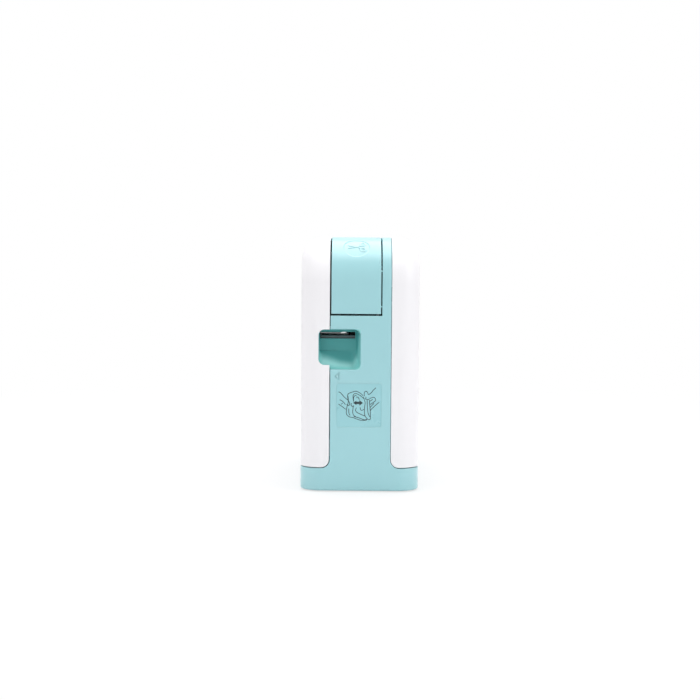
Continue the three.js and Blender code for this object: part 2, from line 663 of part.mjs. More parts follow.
// How far the corner's arc falls away at the dish's rim.
function keyDishSag() {
  return CORNER_RADIUS - Math.sqrt(CORNER_RADIUS ** 2 - KEY_PAD_RADIUS ** 2);
}

const PUSHER = { left: CARRIER_X - 1.7, right: CARRIER_X + 1, front: TAPE_Y + 2.15, back: TAPE_Y + 6.65 };

function cutterKey() {
  const { x, z } = KEY_PIVOT;
  const lug = (y0, y1) => joined(
    rodY(KEY_PIN_RADIUS + 1.2, x, z, y0, y1, 16),
    box(x - 2.2, x + 2.2, y0, y1, z, HEIGHT - WALL / 2),
  ).subtract(rodY(KEY_PIN_RADIUS + CLEARANCE, x, z, y0 - 1, y1 + 1, 14));
  const top = arcHeight(PUSHER.right, WALL / 2);
  const pusher = box(PUSHER.left, PUSHER.right, PUSHER.front, PUSHER.back, CARRIER_TOP + CLEARANCE, top);
  const rib = box(x + 8, PUSHER.left + 0.5, PUSHER.front, PUSHER.front + 1.5, KEY_PIVOT.z - 4.5, HEIGHT - WALL - 0.5)
    .intersect(OUTER);
  return joined(keySkin(), lug(-8, -5.5), lug(5.5, 8), pusher, rib, keyNibs());
}

// Height of the case's surface over x, this far below it.
function arcHeight(x, inset) {
  return ARC_Z + Math.sqrt((CORNER_RADIUS - inset) ** 2 - (x - ARC_X) ** 2);
}

// Small nibs that centre the key between the cover and the frame.
function keyNibs() {
  const nib = (z) => box(SIDE - WALL, SIDE - 0.4, KEY_BACK - 0.5, KEY_BACK + KEY_GAP / 2, z - 0.5, z + 0.5);
  return joined(nib(TAPE_Z + 15), nib(TAPE_Z + 22));
}

// The moulding that closes the cutter's well from the left, behind and below.
function cutterGuide() {
  const { left, bottom, back } = CUTTER_WELL;
  const right = CUTTER_X - CLEARANCE;
  const top = TAPE_Z + 12;
  return joined(
    box(left - RIB, left, BAY_BACK, back + RIB, bottom - RIB, top),
    box(right - 1.3, right, BAY_BACK - 0.5, back + RIB, bottom - RIB, top),
    box(left - RIB, right, back, back + RIB, bottom - RIB, top),
    box(left - RIB, right, TAPE_Y - 8, back + RIB, bottom - RIB, bottom),
  );
}

function bladeCarrier() {
  const bar = box(CARRIER_X - 3.3, CARRIER_X, TAPE_Y - 8.85, 2.2, CARRIER_Z, CARRIER_Z + 4.7);
  const pad = box(CARRIER_X - 5.3, CARRIER_X + 1.6, PUSHER.front - 0.5, PUSHER.back + 0.5, CARRIER_Z + 4.5, CARRIER_TOP);
  const seat = rodZ(2, SPRING.x, SPRING.y, CARRIER_Z, CARRIER_Z + 1.5, 16);
  return joined(bar, pad, seat);
}

const SPRING = { x: CARRIER_X - 3.2, y: -0.2 };

function movingBlade() {
  const edge = TAPE_Z + 0.6;
  return prismX(outline([
    [TAPE_Y - 8.75, edge + 0.8],
    [TAPE_Y + 6, edge, 0.8],
    [TAPE_Y + 7, edge + 1.6, 1],
    [TAPE_Y + 7, CARRIER_Z + 3.5],
    [TAPE_Y - 8.75, CARRIER_Z + 3.5],
  ], 3), BLADE_X, BLADE_X + 0.7);
}

function fixedBlade() {
  return box(BLADE_X + 1, BLADE_X + 1.7, TAPE_Y - 8.35, TAPE_Y + 9, TAPE_Z - 7.2, TAPE_Z - 0.35);
}

// The dark lip under the tape: a strip in the outlet's slot on a plate behind the wall.
function cutterLip() {
  const plate = box(BLADE_X + 2, CUTTER_X - CLEARANCE, TAPE_Y - 8.35, TAPE_Y + 9, TAPE_Z - 7.2, TAPE_Z - 0.5);
  const low = TAPE_Z - SLOT_BELOW + CLEARANCE;
  return plate.add(box(BLADE_X + 2, SIDE - OUTLET_DEPTH, TAPE_Y - 8.45, TAPE_Y + 8.95, low, TAPE_Z - 0.5));
}

// A coil spring of square-ish wire that stands on z0.
function coil(x, y, z0, z1, radius, wire, turns, perTurn = 9) {
  const points = [];
  const steps = Math.round(turns * perTurn);
  for (let k = 0; k <= steps; k++) {
    const angle = (2 * Math.PI * turns * k) / steps;
    const z = z0 + wire + ((z1 - z0 - 2 * wire) * k) / steps;
    points.push(new THREE.Vector3(x + radius * Math.cos(angle), y + radius * Math.sin(angle), z));
  }
  const path = new THREE.CatmullRomCurve3(points);
  const section = new THREE.Shape(circle(wire, 0, 0, 4));
  return solid(new THREE.ExtrudeGeometry(section, { steps, extrudePath: path, bevelEnabled: false }));
}

// ---- Cassette -------------------------------------------------------------------------------

function cassetteOutline(inset) {
  const { left, right, bottom, top, recess, lip } = CASSETTE;
  const head = bottom + HEAD_RECESS_HEIGHT;
  const round = 3 - inset;
  return outline([
    [left + inset, bottom + inset, round],
    [recess - inset, bottom + inset],
    [recess - inset, head + inset],
    [recess + HEAD_RECESS_WIDTH + inset, head + inset],
    [recess + HEAD_RECESS_WIDTH + inset, lip + inset],
    [right - inset, lip + inset],
    [right - inset, top - inset, round],
    [left + inset, top - inset, round],
  ], 3);
}

const TAPE_ROLL_RADIUS = CASSETTE_HEIGHT / 2 - ROLL_ROOM;
const SUPPLY_RADIUS = SUPPLY_SHARE * (CASSETTE.top - DRIVE.z);
const TAPE_ROLL = { x: CASSETTE.left + 3 + TAPE_ROLL_RADIUS, z: CASSETTE.bottom + ROLL_ROOM + TAPE_ROLL_RADIUS };
const SUPPLY = { x: CASSETTE.right - 21, z: CASSETTE.top - 4.5 - SUPPLY_RADIUS };
const LID = 1.2;
const TAPE_WINDOW = { x0: 26, x1: 38, z0: 5, z1: 13 }; // opening in the lid that shows the tape left
const REEL_FRONT = TAPE_Y - TAPE_WIDTH / 2 - 0.25;
const REEL_BACK = TAPE_Y + TAPE_WIDTH / 2 + 0.25;

function cassetteCase() {
  const { front, back, recess } = CASSETTE;
  const body = prismY(cassetteOutline(0), front + LID + CLEARANCE, back);
  const cavity = prismY(cassetteOutline(CASSETTE_WALL), front, back - CASSETTE_WALL);
  const posts = joined(
    rodY(HUB_RADIUS, TAPE_ROLL.x, TAPE_ROLL.z, front + LID + CLEARANCE, back - 1, 16),
    rodY(HUB_RADIUS - 1, SUPPLY.x, SUPPLY.z, front + LID + CLEARANCE, back - 1, 16),
  );
  const tapeSlot = box(recess - CASSETTE_WALL - 1, recess + 1, REEL_FRONT, REEL_BACK, TAPE_Z - 0.6, TAPE_Z + 0.5);
  const window = box(DRIVE.x - FEED_RADIUS - 0.8, CASSETTE.right + 1, front, back - CASSETTE_WALL,
    CASSETTE.lip - 1, CASSETTE.lip + CASSETTE_WALL + 0.5);
  return body.subtract(cavity).add(posts)
    .subtract(tapeSlot)
    .subtract(window)
    .subtract(rodY(SPINDLE_RADIUS + 0.8, DRIVE.x, DRIVE.z, back - 3, back + 1, 16))
    .subtract(rodY(SPINDLE_RADIUS + 0.8, TAKE_UP.x, TAKE_UP.z, back - 3, back + 1, 16));
}

function cassetteLid() {
  const { front, left, bottom } = CASSETTE;
  const hole = (radius, at) => rodY(radius, at.x, at.z, front - 1, front + LID + 1, 16);
  const { x0, x1, z0, z1 } = TAPE_WINDOW;
  const window = prismY(outline([
    [left + x0, bottom + z0, 1],
    [left + x1, bottom + z0, 1],
    [left + x1, bottom + z1, 1],
    [left + x0, bottom + z1, 1],
  ], 2), front - 1, front + LID + 1);
  return prismY(cassetteOutline(0), front, front + LID)
    .subtract(hole(HUB_RADIUS, TAPE_ROLL))
    .subtract(hole(HUB_RADIUS - 1, SUPPLY))
    .subtract(hole(SPINDLE_RADIUS + 0.8, DRIVE))
    .subtract(hole(SPINDLE_RADIUS + 0.8, TAKE_UP))
    .subtract(window);
}

function reel(at, radius, bore, segments) {
  const ring = rodY(radius, at.x, at.z, REEL_FRONT, REEL_BACK, segments);
  return ring.subtract(rodY(bore, at.x, at.z, REEL_FRONT - 1, REEL_BACK + 1, 16));
}

function labelTape() {
  return box(CASSETTE.recess - 3, BLADE_X - 0.4, TAPE_Y - TAPE_WIDTH / 2, TAPE_Y + TAPE_WIDTH / 2,
    TAPE_Z - TAPE_THICKNESS / 2, TAPE_Z + TAPE_THICKNESS / 2);
}

// A C-shaped channel that leads the tape from the cassette to the cutter.
function tapeGuide() {
  const x0 = CASSETTE.right + 2.5;
  const x1 = CUTTER_WELL.left - CLEARANCE;
  const section = outline([
    [TAPE_Y - 7.35, TAPE_Z - 1.6],
    [TAPE_Y + 8.2, TAPE_Z - 1.6],
    [TAPE_Y + 8.2, TAPE_Z - 1.2],
    [BAY_BACK - CLEARANCE, TAPE_Z - 1.2],
    [BAY_BACK - CLEARANCE, TAPE_Z + 1.6],
    [TAPE_Y + 8.2, TAPE_Z + 1.6],
    [TAPE_Y + 8.2, TAPE_Z + 2],
    [TAPE_Y - 7.35, TAPE_Z + 2],
    [TAPE_Y - 7.35, TAPE_Z + 1],
    [TAPE_Y + 6.6, TAPE_Z + 1],
    [TAPE_Y + 6.6, TAPE_Z - 0.6],
    [TAPE_Y - 7.35, TAPE_Z - 0.6],
  ]);
  return prismX(section, x0, x1);
}

// ---- Print unit -----------------------------------------------------------------------------

function printHead() {
  const z = TAPE_Z + TAPE_THICKNESS / 2 + 0.35;
  return box(HEAD_X - HEAD_WIDTH / 2, HEAD_X + HEAD_WIDTH / 2, TAPE_Y - 7.05, TAPE_Y + 7.05, z, z + HEAD_THICKNESS);
}

// Aluminium section: a plate over the head and an upright fin, on a flange at the middle wall.
function heatSink() {
  const z = TAPE_Z + TAPE_THICKNESS / 2 + 0.35 + HEAD_THICKNESS + CLEARANCE;
  const half = HEAD_WIDTH / 2 + 0.5;
  const top = CASSETTE.bottom + HEAD_RECESS_HEIGHT - 1;
  const rear = BAY_BACK - CLEARANCE;
  return joined(
    box(HEAD_X - half, HEAD_X + half, TAPE_Y - 7.35, rear, z, z + 1.5),
    box(HEAD_X - 1, HEAD_X + 1, TAPE_Y - 7.35, rear, z + 1, top),
    box(HEAD_X - half, HEAD_X + half, rear - 1.5, rear, z, top),
  );
}

const HOLDER_FRONT = TAPE_Y - 7.85;
const HOLDER_BACK = BAY_BACK - 1.5;

// The roller holder: a beam from its pivot, with an ear at each end of the rollers.
function rollerHolder() {
  const { x, z } = HOLDER_PIVOT;
  const right = x - 2 + HOLDER_REACH;
  const low = z - 3.5;
  const beamTop = PLATEN.z - PLATEN_RADIUS - 0.9;
  const beam = outline([[x - 4, low, 2], [right, low, 2], [right, beamTop], [x + 2.5, beamTop], [x, z + 3.2, 2], [x - 4, z + 2, 2]]);
  const ear = outline([
    [PLATEN.x - 4.5, low + 2],
    [PINCH.x + 4, low + 2],
    [PINCH.x + 4, PINCH.z + 2.3, 2],
    [PLATEN.x - 4.5, PLATEN.z + 2.3, 2],
  ]);
  const slots = [];
  for (const roller of [PLATEN, PINCH]) {
    slots.push(rodY(ROLLER_SHAFT + CLEARANCE, roller.x, roller.z, HOLDER_FRONT - 1, HOLDER_BACK + 1, 14));
  }
  return joined(
    prismY(beam, HOLDER_FRONT, HOLDER_BACK),
    prismY(ear, HOLDER_FRONT, HOLDER_FRONT + 1.4),
    prismY(ear, HOLDER_BACK - 1.4, HOLDER_BACK),
  )
    .subtract(joined(...slots))
    .subtract(rodY(HOLDER_PIN + CLEARANCE, x, z, HOLDER_FRONT - 1, HOLDER_BACK + 1, 16));
}

function roller(at, radius) {
  const tyre = rodY(radius, at.x, at.z, HOLDER_FRONT + 1.8, HOLDER_BACK - 1.8, 24);
  return tyre.add(rodY(ROLLER_SHAFT, at.x, at.z, HOLDER_FRONT, HOLDER_BACK, 12));
}

function holderPin() {
  return joined(
    rodY(HOLDER_PIN, HOLDER_PIVOT.x, HOLDER_PIVOT.z, HOLDER_FRONT - 0.3, DRIVE_FRONT + 2, 16),
    rodY(HOLDER_PIN + 1, HOLDER_PIVOT.x, HOLDER_PIVOT.z, HOLDER_FRONT - 1.3, HOLDER_FRONT - 0.3, 16),
  );
}

// ---- Drive ----------------------------------------------------------------------------------

function gearReach(teethA, teethB) {
  return (MODULE * (teethA + teethB)) / 2;
}

// A spur gear's outline about a centre. Phase is the angle of the middle of one tooth.
function gearOutline(at, teeth, phase) {
  const pitch = (MODULE * teeth) / 2;
  const step = (2 * Math.PI) / teeth;
  const profile = [
    [pitch - 1.2 * MODULE, -0.3],
    [pitch + 0.85 * MODULE, -0.11],
    [pitch + 0.85 * MODULE, 0.11],
    [pitch - 1.2 * MODULE, 0.3],
  ];
  const points = [];
  for (let tooth = 0; tooth < teeth; tooth++) {
    profile.forEach(([radius, share]) => {
      const angle = phase + (tooth + share) * step;
      points.push(new THREE.Vector2(at.x + radius * Math.cos(angle), at.z + radius * Math.sin(angle)));
    });
  }
  return points;
}

// The phase that meshes the next gear with one whose phase is known.
function meshPhase(phase, teeth, nextTeeth, lineAngle) {
  const ahead = ((lineAngle - phase) * teeth) / (2 * Math.PI);
  return lineAngle + Math.PI + ((ahead + 0.5) * 2 * Math.PI) / nextTeeth;
}

const DRIVE_PHASE = 0;
const TAKE_UP_PHASE = meshPhase(DRIVE_PHASE, DRIVE_TEETH, TAKE_UP_TEETH, TAKE_UP.angle);
const IDLER_PHASE = meshPhase(DRIVE_PHASE, DRIVE_TEETH, IDLER_SMALL_TEETH, IDLER.angle);
const PINION_PHASE = meshPhase(IDLER_PHASE, IDLER_BIG_TEETH, PINION_TEETH, PINION.angle);

// A gear behind the middle wall on a spindle that reaches forward into the cassette.
function spindle(at, teeth, phase) {
  const fins = [];
  for (const turn of [0, 60, 120]) {
    const fin = new THREE.BoxGeometry(2 * SPINDLE_RADIUS, 11, 0.7);
    fin.rotateY(THREE.MathUtils.degToRad(turn));
    fin.translate(at.x, TAPE_Y - 0.4, at.z);
    fins.push(solid(fin));
  }
  return joined(
    prismY(gearOutline(at, teeth, phase), LAYER_1, LAYER_1 + GEAR_FACE),
    rodY(SPINDLE_RADIUS, at.x, at.z, REEL_BACK + CLEARANCE, LAYER_1 + 0.5, 14),
    rodY(SPINDLE_RADIUS - 0.8, at.x, at.z, REEL_FRONT + 0.4, REEL_BACK + 1, 12),
    rodY(ARBOR_RADIUS, at.x, at.z, LAYER_1 + GEAR_FACE - 0.5, PLATE_Y + GEAR_PLATE, 12),
    ...fins,
  );
}

function idlerGear() {
  const small = prismY(gearOutline(IDLER, IDLER_SMALL_TEETH, IDLER_PHASE), LAYER_1, LAYER_2 + 0.2);
  const big = prismY(gearOutline(IDLER, IDLER_BIG_TEETH, IDLER_PHASE), LAYER_2, LAYER_2 + GEAR_FACE);
  return small.add(big).subtract(rodY(ARBOR_RADIUS + CLEARANCE, IDLER.x, IDLER.z, 0, PLATE_Y + 1, 14));
}

function motorPinion() {
  const gear = prismY(gearOutline(PINION, PINION_TEETH, PINION_PHASE), LAYER_2, LAYER_2 + GEAR_FACE);
  return gear.add(rodY(1, PINION.x, PINION.z, LAYER_2 - 0.5, PLATE_Y + GEAR_PLATE + 3, 12));
}

function gearPlate() {
  const left = PLATE_LEFT;
  const right = PLATE_SCREWS[1].x + 4;
  const low = PLATE_SCREWS[1].z - 4;
  const high = TAKE_UP.z + 5;
  const back = PLATE_Y + GEAR_PLATE;
  const sheet = outline([[left, low, 4], [right, low, 4], [right, high, 4], [left, high, 4]]);
  const hole = (radius, at) => rodY(radius, at.x, at.z, PLATE_Y - 1, back + 1, 14);
  return prismY(sheet, PLATE_Y, back)
    .subtract(hole(ARBOR_RADIUS + CLEARANCE, DRIVE))
    .subtract(hole(ARBOR_RADIUS + CLEARANCE, TAKE_UP))
    .subtract(hole(3.4, PINION))
    .subtract(joined(...[...PLATE_SCREWS, ...PLATE_PINS].map((at) => hole(PIN_RADIUS + CLEARANCE, at))))
    .add(rodY(ARBOR_RADIUS, IDLER.x, IDLER.z, DRIVE_FRONT + CLEARANCE, PLATE_Y + 0.5, 14));
}

function motor() {
  const { x, z } = PINION;
  const back = MOTOR_FRONT + MOTOR_LENGTH;
  const flat = MOTOR_FLAT * MOTOR_RADIUS;
  const body = rodY(MOTOR_RADIUS, x, z, MOTOR_FRONT, back, 28)
    .intersect(box(x - flat, x + flat, 0, BACK, z - MOTOR_RADIUS, z + MOTOR_RADIUS));
  return joined(
    body,
    rodY(3, x, z, MOTOR_FRONT - 1.2, MOTOR_FRONT + 1, 18),
    rodY(3.6, x, z, back - 1, back + MOTOR_CAP, 18),
  ).subtract(rodY(1 + CLEARANCE, x, z, MOTOR_FRONT - 2, MOTOR_FRONT + 4.5, 12));
}

// ---- Batteries ------------------------------------------------------------------------------

const CELL_PLACES = [];
for (let row = 0; row < CELL_ROWS; row++) {
  for (const side of [-1, 1]) {
    CELL_PLACES.push({
      x: side * (RIB / 2 + CONTACT_ROOM + CELL_LENGTH / 2),
      z: CELL_FLOOR + row * CELL_PITCH,
      plus: (row % 2 ? 1 : -1) * side, // +1 when the plus end points to +X
    });
  }
}

// One AAA cell: a can with a nub on its plus end.
function cell({ x, z, plus }) {
  const half = CELL_LENGTH / 2;
  const profile = [
    [0, -half],
    [CELL_RADIUS - 0.4, -half],
    [CELL_RADIUS, -half + 0.5],
    [CELL_RADIUS, half - 1.8],
    [CELL_RADIUS - 0.6, half - 1.2],
    [1.9, half - 1.1],
    [1.9, half],
    [0, half],
  ].map(([r, h]) => new THREE.Vector2(r, h));
  const geometry = new THREE.LatheGeometry(profile, 14);
  geometry.rotateZ(-plus * Math.PI / 2);
  geometry.translate(x, CELL_Y, z);
  return solid(geometry);
}

// ---- Electronics ----------------------------------------------------------------------------

// Parts soldered on the board's back face: left, bottom, width, height and thickness, the first
// two as shares of the board's size.
const BOARD_PARTS = {
  processor: [0.32, 0.32, 12, 12, 1.4],
  memory: [0.63, 0.37, 7, 9, 1.2],
  driver: [0.21, 0.59, 6, 5, 1.2],
  regulator: [0.39, 0.12, 5, 4, 1],
  charger: [0.63, 0.15, 4, 5, 1],
  radio: [0.25, 0.76, 18, 13, 2.5],
  head_socket: [0.77, 0.63, 8, 4, 5],
  motor_socket: [0.77, 0.22, 8, 4, 5],
  battery_socket: [0.09, 0.37, 4, 10, 5],
};
const CAPACITOR = { across: 0.77, up: 0.83, radius: 4, length: 9 };

function mainBoard() {
  const right = BOARD_LEFT + BOARD_WIDTH;
  const top = BOARD_BOTTOM + BOARD_HEIGHT;
  const parts = Object.values(BOARD_PARTS).map(([across, up, width, height, thickness]) => {
    const x = BOARD_LEFT + across * BOARD_WIDTH;
    const z = BOARD_BOTTOM + up * BOARD_HEIGHT;
    return box(x, x + width, BOARD_BACK - 0.1, BOARD_BACK + thickness, z, z + height);
  });
  const { across, up, radius, length } = CAPACITOR;
  const can = rodY(radius, BOARD_LEFT + across * BOARD_WIDTH, BOARD_BOTTOM + up * BOARD_HEIGHT,
    BOARD_BACK - 0.1, BOARD_BACK + length, 20);
  return joined(box(BOARD_LEFT, right, BOARD_Y, BOARD_BACK, BOARD_BOTTOM, top), can, ...parts);
}

function screwAlongY({ x, z }, head, tip) {
  const towards = Math.sign(tip - head);
  const [a, b] = [head, head - towards * 1.3].sort((p, q) => p - q);
  const [c, d] = [head - towards * 0.2, tip].sort((p, q) => p - q);
  return rodY(SCREW_HEAD, x, z, a, b, 12).add(rodY(SCREW_RADIUS - CLEARANCE, x, z, c, d, 8));
}

// The small board with the power switch on it.
function switchBoard() {
  const z = SHELF_TOP + CLEARANCE;
  const top = z + 1.2;
  return joined(
    box(BUTTON_X - 5.5, LIGHT_X + 3.5, DRIVE_FRONT + 1.5, BAND_BACK - 2, z, top),
    box(BUTTON_X - 3, BUTTON_X + 3, controlsY() - 3, controlsY() + 3, top - 0.1, top + 3.6),
    rodZ(1.6, BUTTON_X, controlsY(), top + 3.4, top + 4.4, 14),
  );
}

function powerButton() {
  const rest = SHELF_TOP + CLEARANCE + 5.6 + BUTTON_TRAVEL + 0.1;
  return joined(
    rodZ(BUTTON_RADIUS, BUTTON_X, controlsY(), HEIGHT - WALL - 1.2, HEIGHT - 0.1, 28),
    rodZ(BUTTON_RADIUS + 1.1, BUTTON_X, controlsY(), HEIGHT - WALL - 1.5, HEIGHT - WALL - CLEARANCE, 28),
    rodZ(1.5, BUTTON_X, controlsY(), rest, HEIGHT - WALL - 1, 14),
  );
}

function lightWindow() {
  return rodZ(LIGHT_RADIUS, LIGHT_X, controlsY(), SHELF_TOP + CLEARANCE + 2, HEIGHT - 0.1, 16);
}

// The supply socket: a block behind a round hole in the -X side, with a centre pin.
function supplySocket() {
  const { y, z, radius } = JACK;
  const left = -INNER + CLEARANCE;
  const block = box(left, left + 11, y - 4.5, y + 4.5, FOOT_TOP + CLEARANCE, z + 5);
  return block.subtract(rodX(radius, y, z, left - 1, left + 9, 20)).add(rodX(0.9, y, z, left + 0.5, left + 10, 10));
}

// ---- Base -----------------------------------------------------------------------------------

const BASE_TOP = FOOT_PROUD + WALL;
const FEET = [-1, 1].flatMap((sx) => [-1, 1].map((sy) => ({ x: sx * (SIDE - 12), y: sy * (BACK - 12.5) })));

function basePlate() {
  const half = INNER - CLEARANCE;
  const deep = BACK - WALL - CLEARANCE;
  const round = EDGE_RADIUS - WALL - CLEARANCE;
  const plan = outline([[-half, -deep, round], [half, -deep, round], [half, deep, round], [-half, deep, round]], 5);
  const seats = FEET.map(({ x, y }) => rodZ(RUBBER_RADIUS + CLEARANCE, x, y, 0, RUBBER_THICKNESS + CLEARANCE, 20));
  const holes = BASE_SCREWS.map(({ x, y }) => joined(
    rodZ(SCREW_RADIUS + CLEARANCE, x, y, 0, BASE_TOP + 1, 10),
    rodZ(SCREW_HEAD + CLEARANCE, x, y, 0, FOOT_PROUD + 1.2, 12),
  ));
  const labelPlace = box(-18, 18, -11, 11, 0, FOOT_PROUD + 0.3);
  return prismZ(plan, FOOT_PROUD, BASE_TOP).subtract(joined(...seats, ...holes, labelPlace));
}

function baseScrew({ x, y }) {
  return joined(
    rodZ(SCREW_HEAD, x, y, FOOT_PROUD + 0.1, FOOT_PROUD + 0.9, 12),
    rodZ(SCREW_RADIUS - CLEARANCE, x, y, FOOT_PROUD + 0.8, FOOT_TOP - 4, 8),
  );
}

// ---- Assembly -------------------------------------------------------------------------------

const MINT = { color: 0xa3d4d9, roughness: 0.45, metalness: 0 };
const WHITE = { color: 0xebebec, roughness: 0.4, metalness: 0 };
const DARK = { color: 0x3c4448, roughness: 0.5, metalness: 0 };
const STEEL = { color: 0xb9bdc1, roughness: 0.3, metalness: 1 };
const ALUMINIUM = { color: 0xd0d3d6, roughness: 0.4, metalness: 1 };
const RUBBER = { color: 0x2a2c2e, roughness: 0.85, metalness: 0 };
const NATURAL = { color: 0xe9e6dc, roughness: 0.5, metalness: 0 };
const SMOKE = { color: 0x6c757a, roughness: 0.25, metalness: 0 };
const BOARD_GREEN = { color: 0x1f6a45, roughness: 0.5, metalness: 0 };
const PAPER = { color: 0xf6f6f2, roughness: 0.6, metalness: 0 };
const CELL_SKIN = { color: 0x4f5a61, roughness: 0.35, metalness: 0.4 };
const FILM = { color: 0x96cbcb, roughness: 0.3, metalness: 0 };
const LAMP = { color: 0xdfe8e6, roughness: 0.3, metalness: 0 };

const part = new THREE.Group();

function add(name, shape, finish) {
  const { vertProperties, triVerts } = shape.getMesh();
  const geometry = new THREE.BufferGeometry();
  geometry.setAttribute("position", new THREE.BufferAttribute(new Float32Array(vertProperties), 3));
  geometry.setIndex(new THREE.BufferAttribute(new Uint32Array(triVerts), 1));
  geometry.computeVertexNormals();
  const mesh = new THREE.Mesh(geometry, new THREE.MeshStandardMaterial(finish));
  mesh.name = name;
  part.add(mesh);
}

// Case.
add("main_frame", mainFrame(), MINT);
add("front_cover", frontCover(), WHITE);
add("back_shell", backShell(), WHITE);
add("mechanism_wall", mechanismWall(), DARK);
add("battery_bay", batteryBay(), DARK);
add("base_plate", basePlate(), MINT);
FEET.forEach(({ x, y }, i) => add(`rubber_foot_${i + 1}`, rodZ(RUBBER_RADIUS, x, y, 0, RUBBER_THICKNESS, 20), RUBBER));
BASE_SCREWS.forEach((at, i) => add(`base_screw_${i + 1}`, baseScrew(at), STEEL));
CASE_SCREWS.forEach((at, i) => {
  add(`case_screw_${i + 1}`, screwAlongY(at, BAY_BACK - CLEARANCE, DRIVE_FRONT + 13), STEEL);
});
add("guide_sticker", stickerPocket(0.17, 0).subtract(stickerPocket(0.17 - STICKER_THICKNESS, 1)), FILM);

// Cutter.
add("cutter_key", cutterKey().subtract(keyDish()), MINT);
add("key_pin", rodY(KEY_PIN_RADIUS, KEY_PIVOT.x, KEY_PIVOT.z, -8.4, 8.4, 14), STEEL);
add("cutter_guide", cutterGuide(), DARK);
add("blade_carrier", bladeCarrier(), DARK);
add("moving_blade", movingBlade(), STEEL);
add("fixed_blade", fixedBlade(), STEEL);
add("cutter_lip", cutterLip(), DARK);
add("cutter_spring", coil(SPRING.x, SPRING.y, CUTTER_WELL.bottom + CLEARANCE, CARRIER_Z - CLEARANCE, 1.8, 0.3, 5, 7), STEEL);

// Cassette.
add("cassette_case", cassetteCase(), SMOKE);
add("cassette_lid", cassetteLid(), SMOKE);
add("tape_roll", reel(TAPE_ROLL, TAPE_ROLL_RADIUS, HUB_RADIUS + RUNNING_GAP, 32), PAPER);
add("ribbon_supply", reel(SUPPLY, SUPPLY_RADIUS, HUB_RADIUS - 1 + RUNNING_GAP, 24), RUBBER);
add("ribbon_take_up", reel(TAKE_UP, TAKE_UP_RADIUS, SPINDLE_RADIUS + CLEARANCE, 20), RUBBER);
add("drive_roller", reel(DRIVE, FEED_RADIUS, SPINDLE_RADIUS + CLEARANCE, 24), RUBBER);
add("label_tape", labelTape(), PAPER);
add("tape_guide", tapeGuide(), DARK);

// Print unit.
add("print_head", printHead(), NATURAL);
add("heat_sink", heatSink(), ALUMINIUM);
add("roller_holder", rollerHolder(), DARK);
add("platen_roller", roller(PLATEN, PLATEN_RADIUS), RUBBER);
add("pinch_roller", roller(PINCH, FEED_RADIUS), RUBBER);
add("holder_pin", holderPin(), STEEL);
const holderSpringX = PLATEN.x + 6;
add("holder_spring", coil(holderSpringX, TAPE_Y, SHELF_Z + RIB + CLEARANCE, HOLDER_PIVOT.z - 3.5 - CLEARANCE, 2.5, 0.35, 3, 8), STEEL);

// Drive.
add("drive_spindle", spindle(DRIVE, DRIVE_TEETH, DRIVE_PHASE), NATURAL);
add("take_up_spindle", spindle(TAKE_UP, TAKE_UP_TEETH, TAKE_UP_PHASE), NATURAL);
add("idler_gear", idlerGear(), NATURAL);
add("motor_pinion", motorPinion(), STEEL);
add("gear_plate", gearPlate(), STEEL);
add("motor", motor(), STEEL);
PLATE_SCREWS.forEach((at, i) => {
  add(`plate_screw_${i + 1}`, screwAlongY(at, PLATE_Y + GEAR_PLATE + CLEARANCE, DRIVE_FRONT + 2), STEEL);
});

// Batteries.
CELL_PLACES.forEach((place, i) => add(`battery_cell_${i + 1}`, cell(place), CELL_SKIN));

// Electronics.
add("main_board", mainBoard(), BOARD_GREEN);
add("switch_board", switchBoard(), BOARD_GREEN);
add("power_button", powerButton(), WHITE);
add("light_window", lightWindow(), LAMP);
add("supply_socket", supplySocket(), DARK);

export default part;
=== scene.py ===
import json
from math import atan2, cos, pi, radians, sin, sqrt

import bmesh
import bpy
from mathutils import Matrix, Vector


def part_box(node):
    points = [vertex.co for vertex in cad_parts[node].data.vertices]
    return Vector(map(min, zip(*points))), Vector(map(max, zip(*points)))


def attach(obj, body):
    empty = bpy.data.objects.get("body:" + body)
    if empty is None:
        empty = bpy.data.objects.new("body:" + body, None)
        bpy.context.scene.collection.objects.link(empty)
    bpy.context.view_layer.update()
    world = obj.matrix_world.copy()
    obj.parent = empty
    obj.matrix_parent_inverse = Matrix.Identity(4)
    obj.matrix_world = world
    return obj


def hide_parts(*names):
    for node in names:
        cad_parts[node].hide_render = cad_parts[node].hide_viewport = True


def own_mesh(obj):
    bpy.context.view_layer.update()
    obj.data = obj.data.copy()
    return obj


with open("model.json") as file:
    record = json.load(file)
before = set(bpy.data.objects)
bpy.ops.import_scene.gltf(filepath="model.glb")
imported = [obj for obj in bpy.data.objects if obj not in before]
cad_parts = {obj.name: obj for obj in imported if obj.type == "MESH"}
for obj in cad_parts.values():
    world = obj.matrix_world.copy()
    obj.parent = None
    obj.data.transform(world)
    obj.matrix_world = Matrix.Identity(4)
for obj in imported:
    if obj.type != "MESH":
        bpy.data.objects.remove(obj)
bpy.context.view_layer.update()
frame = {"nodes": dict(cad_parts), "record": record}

# ---- Stage ---------------------------------------------------------------------------------
# A white sweep under and behind the printer, a broad soft lamp overhead and two in front.
# The camera stands square to the tape outlet's side, a little above the middle.

MM = 0.001
scene = bpy.context.scene
scene.view_settings.view_transform = "Standard"

